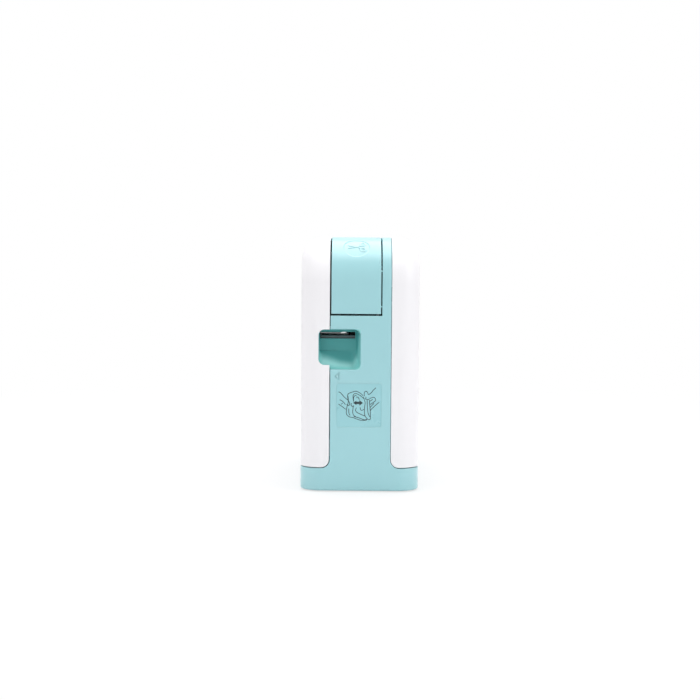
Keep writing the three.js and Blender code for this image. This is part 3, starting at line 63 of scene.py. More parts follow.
CAMERA_AT = (0.814, -0.00515, 0.1178)
CAMERA_DOWN, CAMERA_ROLL = 3.51, 0.43  # degrees
LAMP_TARGET = (0.0, 0.0, 0.06)
lens = bpy.data.cameras.new("camera")
lens.lens = 77.07
lens.sensor_width = 36.0
lens.clip_end = 20.0
camera = bpy.data.objects.new("camera", lens)
scene.collection.objects.link(camera)
camera.matrix_world = (
    Matrix.Translation(CAMERA_AT)
    @ Matrix.Rotation(radians(90), 4, "Z")
    @ Matrix.Rotation(radians(90 - CAMERA_DOWN), 4, "X")
    @ Matrix.Rotation(radians(CAMERA_ROLL), 4, "Z")
)
scene.camera = camera


def soft_lamp(name, place, size, watts):
    lamp = bpy.data.lights.new(name, "AREA")
    lamp.shape = "RECTANGLE"
    lamp.size = lamp.size_y = size
    lamp.energy = watts
    hung = bpy.data.objects.new(name, lamp)
    scene.collection.objects.link(hung)
    aim = (Vector(LAMP_TARGET) - Vector(place)).to_track_quat("-Z", "Y")
    hung.matrix_world = Matrix.Translation(place) @ aim.to_matrix().to_4x4()


soft_lamp("lamp_overhead", (-0.1, 0.0, 1.05), 1.2, 12.2)
soft_lamp("lamp_left", (1.0, -1.1, 0.8), 1.4, 6.1)
soft_lamp("lamp_right", (0.62, 1.3, 0.55), 0.55, 5.7)


def output(source):
    """A node's first output, or the output that is given."""
    return source if isinstance(source, bpy.types.NodeSocket) else source.outputs[0]


def wired(tree, kind, links=(), **sockets):
    """A new node, its type without ShaderNode or GeometryNode in front. Its inputs are set by name
    or linked from another node."""
    start = "ShaderNode" if hasattr(bpy.types, "ShaderNode" + kind) else "GeometryNode"
    node = tree.nodes.new(start + kind)
    for name, value in sockets.items():
        node.inputs[name.replace("_", " ")].default_value = value
    for socket, source in links:
        tree.links.new(output(source), node.inputs[socket])
    return node


def sums(tree, operation, *values):
    """A Math node; a value may be a number or another node's output."""
    node = wired(tree, "Math")
    node.operation = operation
    for k, value in enumerate(values):
        if isinstance(value, (int, float)):
            node.inputs[k].default_value = value
        else:
            tree.links.new(output(value), node.inputs[k])
    return node.outputs[0]


def ramped(tree, value, low, high, first=0.0, last=1.0):
    """How far a value is from low to high, from first to last."""
    return wired(tree, "MapRange", [("Value", value)], From_Min=low, From_Max=high, To_Min=first,
                 To_Max=last).outputs[0]


room = bpy.data.worlds.new("white_room")
scene.world = room
room.use_nodes = True
tree = room.node_tree
tree.nodes.clear()
rays = wired(tree, "LightPath").outputs
seen = sums(tree, "MAXIMUM", rays["Is Camera Ray"], rays["Is Transmission Ray"])
mirrored = sums(tree, "MAXIMUM", seen, rays["Is Glossy Ray"])
walls = wired(tree, "Background", Color=(1, 1, 1, 1), Strength=0.46)
backdrop = wired(tree, "Background", Color=(1, 1, 1, 1), Strength=1.0)
wired(tree, "OutputWorld",
      [(0, wired(tree, "MixShader", [(0, mirrored), (1, walls), (2, backdrop)]))])


def new_object(name, points, faces):
    """A new object at the origin, from points in metres."""
    mesh = bpy.data.meshes.new(name)
    mesh.from_pydata([tuple(p) for p in points], [], faces)
    mesh.update()
    made = bpy.data.objects.new(name, mesh)
    scene.collection.objects.link(made)
    return made


floor = new_object("floor", [(-9, -9, 0), (9, -9, 0), (9, 9, 0), (-9, 9, 0)], [(0, 1, 2, 3)])
sweep = bpy.data.materials.new("white_sweep")
sweep.use_nodes = True
tree = sweep.node_tree
tree.nodes.clear()
paper = wired(tree, "BsdfDiffuse", Color=(0.86, 0.86, 0.87, 1))
glow = wired(tree, "Emission", Color=(1, 1, 1, 1), Strength=1.0)
distance = wired(tree, "VectorMath", [(0, wired(tree, "TexCoord").outputs["Object"])])
distance.operation = "LENGTH"
fade = ramped(tree, distance.outputs["Value"], 0.12, 0.55, 0.68)
share = sums(tree, "MULTIPLY", wired(tree, "LightPath").outputs["Is Camera Ray"], fade)
wired(tree, "OutputMaterial", [(0, wired(tree, "MixShader", [(0, share), (1, paper), (2, glow)]))])
floor.data.materials.append(sweep)

# ---- Main frame ----------------------------------------------------------------------------
# The mint moulding that everything hangs on: a band over the top and down both sides, standing
# on a foot, with the tape outlet's tub in its +X side. ABS from a spark-eroded mould; every
# parting edge keeps a small moulded radius.

SIDE, BACK, TOP = [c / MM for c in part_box("main_frame")[1]]
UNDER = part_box("main_frame")[0].z / MM
CORNER = 23.0  # top corners, seen from the front
EDGE = 11.0  # rounding of the front and back edges
FLAT = BACK - EDGE
ARC_X = SIDE - CORNER
ARC_Z = TOP - CORNER
FACE = FLAT + pi / 2 * EDGE  # from a side's middle to the front or back face, along the surface
FOOT_TOP = 12.0
HOLLOW = 4.4  # corner between the band and the foot
BAND_FRONT = -15.0
BAND_BACK = 15.5
KEY_CUT = {"left": 22.0, "low": 89.0, "back": 10.9}  # the opening for the cutter key
SKIN = 1.5
LIP = 0.35


def place(station, v, depth=0.0):
    """A point and a normal of the case: a station on its outline seen from the front, v across
    the surface from the middle, and a depth under the surface."""
    cx, cz, nx, nz = station
    phi = min(max((abs(v) - FLAT) / EDGE, 0.0), pi / 2)
    sign = -1.0 if v < 0 else 1.0
    out = CORNER - EDGE * (1 - cos(phi)) - depth * cos(phi) - max(abs(v) - FACE, 0.0)
    y = v if phi == 0 else sign * (FLAT + (EDGE - depth) * sin(phi))
    return (cx + nx * out, y, cz + nz * out), (nx * cos(phi), sign * sin(phi), nz * cos(phi))


def even(a, b, parts):
    return [a + (b - a) * k / parts for k in range(parts + 1)]


def full_turn(parts):
    return even(0, 2 * pi, parts)[:-1]


def rounding(radius, steps):
    """A quarter round from the flat: how far out it still is, and how deep."""
    return [(radius * (1 - sin(a)), radius * (1 - cos(a))) for a in even(0, pi / 2, steps)]


def on_side(z, side):
    return (side * ARC_X, z, float(side), 0.0)


def over_the_top(heights, tops, steps=30):
    """Stations up the -X side, round the corner, over the top, and down the +X side."""
    left = [(-ARC_X, ARC_Z, -cos(a), sin(a)) for a in even(0, pi / 2, steps)]
    right = [(ARC_X, ARC_Z, sin(a), cos(a)) for a in even(0, pi / 2, steps)]
    over = [(x, ARC_Z, 0.0, 1.0) for x in tops]
    return ([on_side(z, -1) for z in heights] + left + over + right
            + [on_side(z, 1) for z in reversed(heights)])


class Skin:
    """A surface in millimetres under construction: shared points, normals, faces from outside."""

    def __init__(self):
        self.points, self.normals, self.faces, self.index = [], [], [], {}

    def point(self, point, normal):
        key = tuple(round(c, 3) for c in point)
        if key not in self.index:
            self.index[key] = len(self.points)
            self.points.append(Vector(point))
            self.normals.append(Vector(normal))
        return self.index[key]

    def face(self, corners):
        kept = [c for i, c in enumerate(corners) if c != corners[i - 1]]
        if len(set(kept)) > 2:
            self.faces.append(kept)

    def grid(self, rows):
        """Rows of points and normals; seen from outside, up is from one row to the next when
        each row runs to the right."""
        ids = [[self.point(*corner) for corner in row] for row in rows]
        for a, b in zip(ids, ids[1:]):
            for k in range(len(a) - 1):
                self.face([a[k], b[k], b[k + 1], a[k + 1]])
        return ids

    def wall(self, name, thickness, lip):
        """The surface as a closed wall. Its free edges are rounded off by lip at each point."""
        edges = {(f[i - 1], f[i]) for f in self.faces for i in range(len(f))}
        after = {a: b for a, b in edges if (b, a) not in edges}
        before = {b: a for a, b in after.items()}

        def across(a, b):
            along = self.points[b] - self.points[a]
            return along.cross(self.normals[a] + self.normals[b]).normalized()

        count = len(self.points)
        every = list(self.points) + [p - n * thickness for p, n in zip(self.points, self.normals)]
        faces = [list(f) for f in self.faces]
        faces += [[count + c for c in reversed(f)] for f in self.faces]
        ring = {a: a for a in after}
        for quarter in range(1, 5):
            turn = pi / 2 * quarter / 4
            following = {}
            for a in after:
                m1, m2 = across(before[a], a), across(a, after[a])
                spread = (m1 + m2) / max(1 + m1.dot(m2), 0.3)
                size = lip(self.points[a])
                every[a] = self.points[a] - spread * size
                following[a] = len(every)
                every.append(self.points[a] - spread * size * (1 - sin(turn))
                             - self.normals[a] * size * (1 - cos(turn)))
            faces += [[ring[b], ring[a], following[a], following[b]] for a, b in after.items()]
            ring = following
        faces += [[ring[b], ring[a], count + a, count + b] for a, b in after.items()]
        return new_object(name, [p * MM for p in every], faces)


def case_block(name, inset, bottom):
    """The whole case as one closed block, this far inside its surface."""
    block = Skin()
    across = even(-FACE, -FLAT, 12) + even(FLAT, FACE, 12)
    stations = over_the_top(even(bottom, ARC_Z, 3)[:-1], even(-ARC_X, ARC_X, 3)[1:-1])
    ids = block.grid([[place(s, v, inset) for v in across] for s in stations])
    block.face([row[0] for row in reversed(ids)])
    block.face([row[-1] for row in ids])
    block.face(ids[0] + ids[-1][::-1])
    return new_object(name, [p * MM for p in block.points], block.faces)


def reworked(piece, operation, *parts, **options):
    """Runs a bmesh operation on a piece's verts, edges or faces."""
    bm = bmesh.new()
    bm.from_mesh(piece.data)
    operation(bm, **{part: getattr(bm, part) for part in parts}, **options)
    bm.to_mesh(piece.data)
    bm.free()
    return piece


def cad_copy(node):
    """A CAD node's mesh as a new object, its loose triangles merged."""
    made = bpy.data.objects.new(node + "_copy", frame["nodes"][node].data.copy())
    scene.collection.objects.link(made)
    made.data.materials.clear()
    reworked(made, bmesh.ops.remove_doubles, "verts", dist=2e-6)
    while made.data.uv_layers:
        made.data.uv_layers.remove(made.data.uv_layers[0])
    return made


def applied(piece):
    """Puts a piece's modifiers into its mesh."""
    graph = bpy.context.evaluated_depsgraph_get()
    mesh = bpy.data.meshes.new_from_object(piece.evaluated_get(graph))
    piece.modifiers.clear()
    piece.data = mesh
    return piece


def combined(base, operation, *others):
    """Joins the others to base, cuts them from it or keeps what they share, and removes them."""
    for other in others:
        step = base.modifiers.new(operation, "BOOLEAN")
        step.operation = operation
        step.solver = "MANIFOLD"
        step.object = other
        applied(base)
        bpy.data.objects.remove(other)
    return base


def smooth(piece, degrees=34.0):
    """Smooth shading with sharp edges kept, and normals led by the large faces."""
    piece.data.shade_smooth()
    piece.data.set_sharp_from_angle(angle=radians(degrees))
    led = piece.modifiers.new("led_by_large_faces", "WEIGHTED_NORMAL")
    led.keep_sharp = True
    return applied(piece)


def fitted(piece, name, slot, finish, *nodes, body="case"):
    """Names a finished piece, gives it its finish, ties it to its body and hides its nodes; the
    slot is not used.
    """
    piece.name = name
    piece.data.name = name
    piece.data.materials.clear()
    piece.data.materials.append(finish)
    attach(piece, body)
    if nodes:
        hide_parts(*nodes)
    return piece


def rounded(y0, y1, z0, z1, radii, steps=8):
    """A rectangle with its own radius at each corner, from the low near one, anticlockwise."""
    corners = [(y0, z0, 1, 1, pi), (y1, z0, -1, 1, 1.5 * pi), (y1, z1, -1, -1, 0),
               (y0, z1, 1, -1, pi / 2)]
    points = []
    for (y, z, dy, dz, start), r in zip(corners, radii):
        for k in range(steps + 1):
            a = start + pi / 2 * k / steps
            points.append((y + dy * r + r * cos(a), z + dz * r + r * sin(a)))
    return points


def turned_out(name, points, faces):
    """A new object from millimetres, its faces turned outwards."""
    made = new_object(name, [Vector(p) * MM for p in points], faces)
    return reworked(made, bmesh.ops.recalc_face_normals, "faces")


def lofted(name, rings):
    """A closed body through rings of equal length, in millimetres."""
    count = len(rings[0])
    faces = [list(range(count))[::-1], [len(rings) * count - count + k for k in range(count)]]
    for r in range(len(rings) - 1):
        for k in range(count):
            a, b = r * count + k, r * count + (k + 1) % count
            faces.append([a, b, b + count, a + count])
    return turned_out(name, [p for ring in rings for p in ring], faces)


def slab(name, outline, x0, x1):
    """A straight body on the X axis over an outline in y and z."""
    return lofted(name, [[(x, y, z) for y, z in outline] for x in (x0, x1)])


def slab_y(name, outline, y0, y1):
    """A straight body on the Y axis over an outline in x and z."""
    return lofted(name, [[(x, y, z) for x, z in outline] for y in (y0, y1)])


def side_x(y, depth=0.0):
    """How far out the +X side is at y."""
    beyond = max(abs(y) - FLAT, 0.0)
    return SIDE - EDGE + sqrt(EDGE ** 2 - beyond ** 2) - depth


def mouth_rings(low, high, bottom, top, radii, lip, out=1.2):
    """The rounded-over lip of an opening in the +X side."""
    def ring(grow, depth):
        shape = rounded(low - grow, high + grow, bottom - grow, top + grow,
                        [r + grow for r in radii])
        return [(side_x(y) - depth, y, z) for y, z in shape]

    return [ring(lip, -out)] + [ring(*step) for step in rounding(lip, 6)]


def frame_skin():
    skin = Skin()
    flare = {FOOT_TOP + up: out for out, up in rounding(HOLLOW, 8)}
    low = list(flare)
    heights = low + even(low[-1], KEY_CUT["low"], 9)[1:] + even(KEY_CUT["low"], ARC_Z, 3)[1:-1]
    tops = even(-ARC_X, KEY_CUT["left"], 6)[1:] + even(KEY_CUT["left"], ARC_X, 3)[1:-1]
    stations = over_the_top(heights, tops)

    def columns(grow):
        front = even(BAND_FRONT - grow, KEY_CUT["back"], 8)
        return front + even(KEY_CUT["back"], BAND_BACK + grow, 4)[1:]

    rows = [[place(s, v) for v in columns(flare.get(s[1], 0.0))] for s in stations]
    top_end = next(i for i, s in enumerate(stations)
                   if s[3] == 1.0 and s[0] >= KEY_CUT["left"] - 1e-6)
    low_end = len(rows) - 1 - heights.index(KEY_CUT["low"])
    skin.grid(rows[:top_end + 1])
    skin.grid([row[8:] for row in rows[top_end:low_end + 1]])
    skin.grid(rows[low_end:])

    def ring(z):
        left, right = on_side(z, -1), on_side(z, 1)
        fillet = even(FLAT, FACE, 12)[1:]
        flat = columns(HOLLOW)
        behind = [v for v in fillet if v > flat[-1] + 0.3]
        ahead = [v for v in fillet if v > -flat[0] + 0.3]
        width = even(-SIDE + EDGE, SIDE - EDGE, 10)[1:-1]
        loop = [place(left, v) for v in flat + behind]
        loop += [((x, BACK, z), (0.0, 1.0, 0.0)) for x in width]
        loop += [place(right, v) for v in behind[::-1] + flat[::-1] + [-v for v in ahead]]
        loop += [((x, -BACK, z), (0.0, -1.0, 0.0)) for x in width[::-1]]
        loop += [place(left, -v) for v in ahead[::-1]]
        return loop + loop[:1]

    rings = [ring(z) for z in even(UNDER, FOOT_TOP, 4)]
    skin.grid([list(column) for column in zip(*rings)][::-1])
    return skin


SCOOP = {"low": -21.0, "high": 0.05, "bottom": 62.0, "top": 82.0}
SCOOP_RADIUS = 3.0
BACK_WALL = 55.8  # the outlet's back wall, and the frame's slot in it
SLOT = {"low": -20.4, "high": -2.55, "bottom": 77.1, "top": 80.5}
# From the mouth inwards: x, near and far side, the floor at each, the ceiling, corner radii. The
# floor is a ramp on the near side and drops steeply on the far side.
BOWL = [
    (62.6, -20.85, -0.15, 62.35, 62.05, 81.97, (3.0, 3.3, 3.0, 3.0)),
    (61.4, -20.80, -0.40, 63.70, 62.40, 81.93, (2.8, 3.8, 2.9, 2.9)),
    (60.3, -20.74, -0.70, 65.30, 62.90, 81.89, (2.6, 4.2, 2.8, 2.7)),
    (59.2, -20.67, -1.00, 67.20, 63.80, 81.84, (2.4, 4.4, 2.6, 2.4)),
    (58.2, -20.60, -1.30, 68.90, 65.20, 81.78, (2.1, 4.2, 2.4, 2.1)),
    (57.3, -20.52, -1.65, 70.10, 67.20, 81.72, (1.8, 3.7, 2.1, 1.7)),
    (56.5, -20.45, -1.95, 70.75, 69.20, 81.66, (1.5, 3.0, 1.8, 1.3)),
    (56.0, -20.40, -2.15, 70.95, 70.70, 81.60, (1.3, 2.5, 1.5, 1.0)),
]


def bowl_ring(x, y0, y1, near, far, top, radii):
    ring = []
    for y, z in rounded(y0, y1, far, top, radii):
        ring.append((x, y, z + (near - far) * (y1 - y) / (y1 - y0) * (top - z) / (top - far)))
    return ring


def scoop_void(name):
    rings = mouth_rings(SCOOP["low"], SCOOP["high"], SCOOP["bottom"], SCOOP["top"],
                        [SCOOP_RADIUS] * 4, 0.95)
    return lofted(name, rings + [bowl_ring(*row) for row in BOWL])


def round_void(name, centre, radius, lip, deep, axis):
    """A round hole with a rounded lip, inwards from the -X side or from the +Z top."""
    rings = []
    for grow, depth in [(lip, -1.0)] + rounding(lip, 5) + [(0, deep)]:
        ring = []
        for a in full_turn(48):
            u, w = centre[0] + (radius + grow) * cos(a), centre[1] + (radius + grow) * sin(a)
            ring.append((-SIDE + depth, u, w) if axis == "-X" else (u, w, TOP - depth))
        rings.append(ring)
    return lofted(name, rings)


BUTTON, LIGHT, HINGE = [Vector(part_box(node)[0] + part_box(node)[1]) / 2 / MM
                        for node in ("power_button", "light_window", "key_pin")]
JACK = {"y": 6.0, "z": 20.0, "hole": 4.2}
STICKER = [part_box("guide_sticker")[end][axis] / MM for axis in (1, 2) for end in (0, 1)]
ARROW = {"y": -11.55, "z": 58.5, "size": 2.1}

main_frame = frame_skin().wall("main_frame", SKIN, lambda p: 0.9 if p.z < UNDER + 0.01 else LIP)
KEY_SWEEP = 51.4  # room for the key's lower edge as it turns on its pin
core = combined(cad_copy("main_frame"), "INTERSECT", case_block("inside", 1.0, UNDER + 1.0))
liner_high = [(-22.1, 60.7), (-14.5, 60.7), (-14.5, 83.1), (-22.1, 83.1)]
liner_wide = [(-14.9, 60.7), (2.0, 60.7), (2.0, 83.1), (-14.9, 83.1)]
main_frame = combined(main_frame, "UNION", core, slab("liner_near", liner_high, 54.5, 61.1),
                      slab("liner_far", liner_wide, 54.5, 62.9))


def arrow_groove():
    y, z, size = ARROW["y"], ARROW["z"], ARROW["size"]
    big = [(y - size * 0.75, z), (y + size * 0.55, z - size), (y + size * 0.55, z + size)]
    small = [(y + (u - y) * 0.5, z + (w - z) * 0.5) for u, w in big]
    return combined(slab("arrow", big, SIDE - 0.45, SIDE + 1), "DIFFERENCE",
                    slab("arrow_middle", small, SIDE - 0.6, SIDE + 2))


def key_room():
    """The arc that the key's lower edge sweeps, behind the opening's lower edge."""
    arc = [(x, HINGE.z - sqrt(KEY_SWEEP ** 2 - (x - HINGE.x) ** 2)) for x in even(58.0, 64.4, 12)]
    return slab_y("key_room", arc + [(64.4, 91.0), (58.0, 91.0)], BAND_FRONT - 0.5, KEY_CUT["back"])


pocket = rounded(STICKER[0] - 0.06, STICKER[1] + 0.06, STICKER[2] - 0.06, STICKER[3] + 0.06,
                 [1.0] * 4)
plate_edge = rounded(-20.3, -2.35, 71.0, SLOT["top"], [0.3, 2.2, 0.3, 0.3])
slot_edge = rounded(SLOT["low"], SLOT["high"], SLOT["bottom"], SLOT["top"], [0.15] * 4, 2)
main_frame = combined(
    main_frame, "DIFFERENCE",
    scoop_void("scoop"),
    key_room(),
    slab("plate_recess", plate_edge, BACK_WALL, 58.0),
    slab("tape_slot", slot_edge, 53.0, 61.5),
    slab("sticker_place", pocket, SIDE - 0.2, SIDE + 1),
    arrow_groove(),
    round_void("button_hole", BUTTON.xy, 4.9, 0.4, 6.0, "+Z"),
    round_void("light_hole", LIGHT.xy, 1.8, 0.25, 6.0, "+Z"),
    round_void("jack_hole", (JACK["y"], JACK["z"]), JACK["hole"], 0.6, 5.0, "-X"),
)
smooth(main_frame)


def into(tree, node, **sources):
    """Links sources to a node's inputs, by name."""
    for name, source in sources.items():
        tree.links.new(output(source), node.inputs[name.replace("_", " ")])


def shared_group(name, results, **numbers):
    """An empty shader node group with named numbers; also what it is given, and its end node."""
    group = bpy.data.node_groups.new(name, "ShaderNodeTree")
    for socket, value in numbers.items():
        made = group.interface.new_socket(socket.replace("_", " "), in_out="INPUT",
                                          socket_type="NodeSocketFloat")
        made.default_value = value
    for socket in results:
        group.interface.new_socket(socket, in_out="OUTPUT", socket_type="NodeSocketFloat")
    return group, group.nodes.new("NodeGroupInput").outputs, group.nodes.new("NodeGroupOutput")


def times(tree, value, factor):
    return sums(tree, "MULTIPLY", value, factor)


def noise(tree, scale, **settings):
    """A noise on the piece's own coordinates; scale is in features to the metre."""
    node = wired(tree, "TexNoise", [("Vector", wired(tree, "TexCoord").outputs["Object"])],
                 **settings)
    if isinstance(scale, float):
        node.inputs["Scale"].default_value = scale
    else:
        into(tree, node, Scale=scale)
    return node.outputs[0]


# The grain of a spark-eroded mould: fine pits, and slow patches where the plastic flowed.
tree, given, end = shared_group("mould_grain", ("Height", "Patch"), Pits_per_metre=2600.0,
                                Patches_per_metre=26.0)
fine = noise(tree, given[0], Detail=2.0, Roughness=0.6)
coarse = noise(tree, times(tree, given[0], 0.31), Detail=1.0)
into(tree, end, Height=sums(tree, "ADD", times(tree, fine, 0.65), times(tree, coarse, 0.35)),
     Patch=noise(tree, given[1], Detail=4.0, Roughness=0.55))
mould_grain = tree

# Edges that hands and the next piece rub: a mask from how sharply the surface bends.
tree, given, end = shared_group("handled_edge", ("Mask",), From=0.52, To=0.62,
                                Breaks_per_metre=320.0)
bend = wired(tree, "NewGeometry").outputs["Pointiness"]
sharp = wired(tree, "MapRange", [("Value", bend), ("From Min", given[0]), ("From Max", given[1])])
into(tree, end, Mask=sums(tree, "MULTIPLY", sharp, noise(tree, given[2], Detail=3.0)))
handled_edge = tree


def placed_group(tree, group, **sockets):
    node = tree.nodes.new("ShaderNodeGroup")
    node.node_tree = group
    for name, value in sockets.items():
        node.inputs[name.replace("_", " ")].default_value = value
    return node.outputs


def blended(tree, mask, low, high):
    """A colour between two others, by a mask; either may be another node's output."""
    node = wired(tree, "Mix", [(0, mask)])
    node.data_type = "RGBA"
    for socket, colour in ((6, low), (7, high)):
        if isinstance(colour, tuple):
            node.inputs[socket].default_value = (*colour, 1.0)
        else:
            tree.links.new(colour, node.inputs[socket])
    return node.outputs[2]


def between(tree, value, low, high):
    """A value from 0 to 1 spread over another range."""
    return sums(tree, "MULTIPLY_ADD", value, high - low, low)


def bumped(tree, height, strength, distance):
    """A normal from a height; the distance is in metres."""
    return wired(tree, "Bump", [("Height", height)], Strength=strength, Distance=distance)


def shaded(name, **sockets):
    """A new material, its tree and its Principled BSDF with some inputs set."""
    finish = bpy.data.materials.new(name)
    finish.use_nodes = True
    shader = finish.node_tree.nodes["Principled BSDF"]
    for socket, value in sockets.items():
        shader.inputs[socket.replace("_", " ")].default_value = value
    return finish, finish.node_tree, shader


# How far inside the outlet's scoop a point is, from 0 at its mouth to 1, to paint shade there:
# Mouth is 1 soon after the edge, and Mask near the back wall. Both start nearer the mouth at the
# top, under the overhang whose shadow they paint, than at the bottom. Mask starts later beside
# the near wall and at the open side.
SLANT, SLANT_FROM = -0.33, 0.067  # metres inwards for each metre up, and the height it starts from
tree, given, end = shared_group("scoop_depth", ("Mask", "Mouth"))
at = wired(tree, "SeparateXYZ", [(0, wired(tree, "TexCoord").outputs["Object"])]).outputs
slanted = sums(tree, "MULTIPLY_ADD", at["Z"], SLANT, at["X"])
slanted = sums(tree, "ADD", slanted, -SLANT * SLANT_FROM)
beside = sums(tree, "MAXIMUM", sums(tree, "ADD", at["Y"], 0.0038), 0.0)
across = sums(tree, "MAXIMUM", sums(tree, "SUBTRACT", -0.0105, at["Y"]), 0.0)
leaning = sums(tree, "ADD", times(tree, beside, 1.1), slanted)
leaning = sums(tree, "ADD", times(tree, across, 0.25), leaning)
within = 1.0
for axis, low, high in (("X", BACK_WALL - 0.5, SIDE), ("Y", SCOOP["low"], SCOOP["high"]),
                        ("Z", SCOOP["bottom"], SCOOP["top"])):
    within = times(tree, within, sums(tree, "GREATER_THAN", at[axis], (low - 0.05) * MM))
    within = times(tree, within, sums(tree, "LESS_THAN", at[axis], (high + 0.05) * MM))
for k, (way, shallow, deep) in enumerate(((leaning, 0.0624, 0.0576), (slanted, 0.0664, 0.0648))):
    depth_in = wired(tree, "MapRange", [("Value", way)], From_Min=shallow, From_Max=deep)
    depth_in.interpolation_type = "SMOOTHSTEP"
    tree.links.new(sums(tree, "MULTIPLY", depth_in, within), end.inputs[k])
scoop_depth = tree


def moulded_plastic(name, colour, rough, pits=2600.0, depth=0.000006, tone=0.035, wear_and_highlight=0.10,
                    gloss=0.5, coat=0.0, scoop_shade_colours=None):
    """A satin moulded plastic: its colour drifts a little, its grain is fine, its edges polish.
    Given two scoop colours, the scoop's inside is painted with them as shade, the darker one
    towards the back wall, where the coat also fades and the surface grows rougher."""
    finish, tree, shader = shaded(name, Specular_IOR_Level=gloss, Coat_Weight=coat,
                                  Coat_Roughness=0.3)
    grain = placed_group(tree, mould_grain, Pits_per_metre=pits)
    edge = placed_group(tree, handled_edge)["Mask"]
    light = tuple(min(c * (1 + tone), 1.0) for c in colour)
    dark = tuple(c * (1 - tone) for c in colour)
    bright = tuple(c + (1.0 - c) * wear_and_highlight for c in colour)
    surface = blended(tree, edge, blended(tree, grain["Patch"], dark, light), bright)
    satin = between(tree, grain["Patch"], rough - 0.05, rough + 0.05)
    # Painted shade inside the scoop: a deeper tone after the mouth, a dark one towards the back
    # wall.
    if scoop_shade_colours:
        scoop = placed_group(tree, scoop_depth)
        surface = blended(tree, scoop["Mouth"], surface, scoop_shade_colours[0])
        surface = blended(tree, scoop["Mask"], surface, scoop_shade_colours[1])
        satin = sums(tree, "MULTIPLY_ADD", scoop["Mask"], 0.3, satin)
        into(tree, shader,
             Coat_Weight=times(tree, sums(tree, "SUBTRACT", 1.0, scoop["Mask"]), coat))
    into(tree, shader, Base_Color=surface,
         Roughness=sums(tree, "SUBTRACT", satin, times(tree, edge, 0.12)),
         Normal=bumped(tree, grain["Height"], 0.35, depth))
    return finish


# The last two colours are the shade painted inside the outlet's scoop.
mint_abs = moulded_plastic("mint_abs", (0.316, 0.604, 0.646), 0.34, gloss=0.6, coat=0.7,
                           scoop_shade_colours=((0.228, 0.618, 0.600), (0.066, 0.340, 0.336)))
fitted(main_frame, "frame_moulding", "mint", mint_abs, "main_frame")

# ---- Front cover ---------------------------------------------------------------------------
# The white shell that pulls off to change the tape and the cells. Glossier ABS than the frame,
# one moulding, held by tongues behind the frame's skin; its notch is half of the tape outlet.

SEAM = 0.4


def shell_skin(seam, sign):
    """A shell's outer surface; sign -1 for the front cover, 1 for the back shell."""
    skin = Skin()
    flare = {FOOT_TOP + SEAM + up: out for out, up in rounding(HOLLOW - SEAM, 8)}
    low = list(flare)
    heights = low + even(low[-1], ARC_Z, 8)[1:-1]
    stations = over_the_top(heights, even(-ARC_X, ARC_X, 8)[1:-1])
    rows = []
    for s in stations:
        near = seam + sign * flare.get(s[1], 0.0)
        v = even(near, sign * FACE, 20)
        rows.append([place(s, c) for c in (v if sign > 0 else v[::-1])])
    ids = skin.grid(rows)
    skin.face([row[-1] for row in ids] if sign > 0 else [row[0] for row in reversed(ids)])
    return skin


def shell_core(node):
    return combined(cad_copy(node), "INTERSECT", case_block("inside", 1.0, FOOT_TOP))


front_cover = shell_skin(BAND_FRONT - SEAM, -1).wall("front_cover", SKIN, lambda p: LIP)
front_cover = combined(front_cover, "UNION", shell_core("front_cover"))
notch = mouth_rings(SCOOP["low"], 2.0, SCOOP["bottom"] + 2.1, SCOOP["top"], [SCOOP_RADIUS] * 4, 0.3)
notch.append([(SIDE - 5.0, y, z) for x, y, z in notch[-1]])
front_cover = smooth(combined(front_cover, "DIFFERENCE", lofted("notch", notch)))
white_abs = moulded_plastic("white_abs", (0.85, 0.84, 0.86), 0.42, depth=0.000004, tone=0.008,
                            wear_and_highlight=0.25)
fitted(front_cover, "front_cover_moulding", "white", white_abs, "front_cover", body="front_cover")

# ---- Back shell ----------------------------------------------------------------------------
# The white shell behind, screwed to the frame from inside the battery bay. Same ABS as the
# front cover.

back_shell = shell_skin(BAND_BACK + SEAM / 2, 1).wall("back_shell", SKIN, lambda p: LIP)
back_shell = smooth(combined(back_shell, "UNION", shell_core("back_shell")))
fitted(back_shell, "back_shell_moulding", "white", white_abs, "back_shell")

# ---- Cutter key ----------------------------------------------------------------------------
# The wide mint key wrapped over the top corner. Pressed with the thumb on its round mark, it
# turns on a pin near its end on top and drives the blade down. Two thin nibs on its back edge
# centre it in the frame's opening.

KEY = {"left": 22.6, "low": 89.9, "front": -14.65, "back": 10.3}


def key_skin():
    skin = Skin()
    heights = even(KEY["low"], ARC_Z, 6)[:-1]
    right = [(ARC_X, ARC_Z, sin(a), cos(a)) for a in even(0, pi / 2, 40)]
    stations = [(x, ARC_Z, 0.0, 1.0) for x in even(KEY["left"], ARC_X, 5)[:-1]]
    stations += right + [on_side(z, 1) for z in reversed(heights)]
    skin.grid([[place(s, v) for v in even(KEY["front"], KEY["back"], 10)] for s in stations])
    return skin


cutter_key = key_skin().wall("cutter_key", SKIN, lambda p: LIP)
core = combined(cad_copy("cutter_key"), "INTERSECT", case_block("inside", 1.0, FOOT_TOP))
below = slab_y("below", [(57, 80), (65, 80), (65, KEY["low"]), (57, KEY["low"])], -16, 12)
behind = slab_y("behind", [(57, 80), (65, 80), (65, 120), (57, 120)], KEY["back"] - 0.05, 12)
cutter_key = combined(cutter_key, "UNION", combined(core, "DIFFERENCE", below, behind))
PAD = {"radius": 6.3, "rim": 0.35, "angle": radians(51), "depth": 0.32,
       "y": (KEY["front"] + KEY["back"]) / 2}


def on_pad(u, w, out):
    """A point over the round mark: u towards +Y, w up round the case's corner, out from it."""
    a = PAD["angle"] + w / CORNER
    reach = CORNER + out
    return (ARC_X + reach * cos(a), PAD["y"] + u, ARC_Z + reach * sin(a))


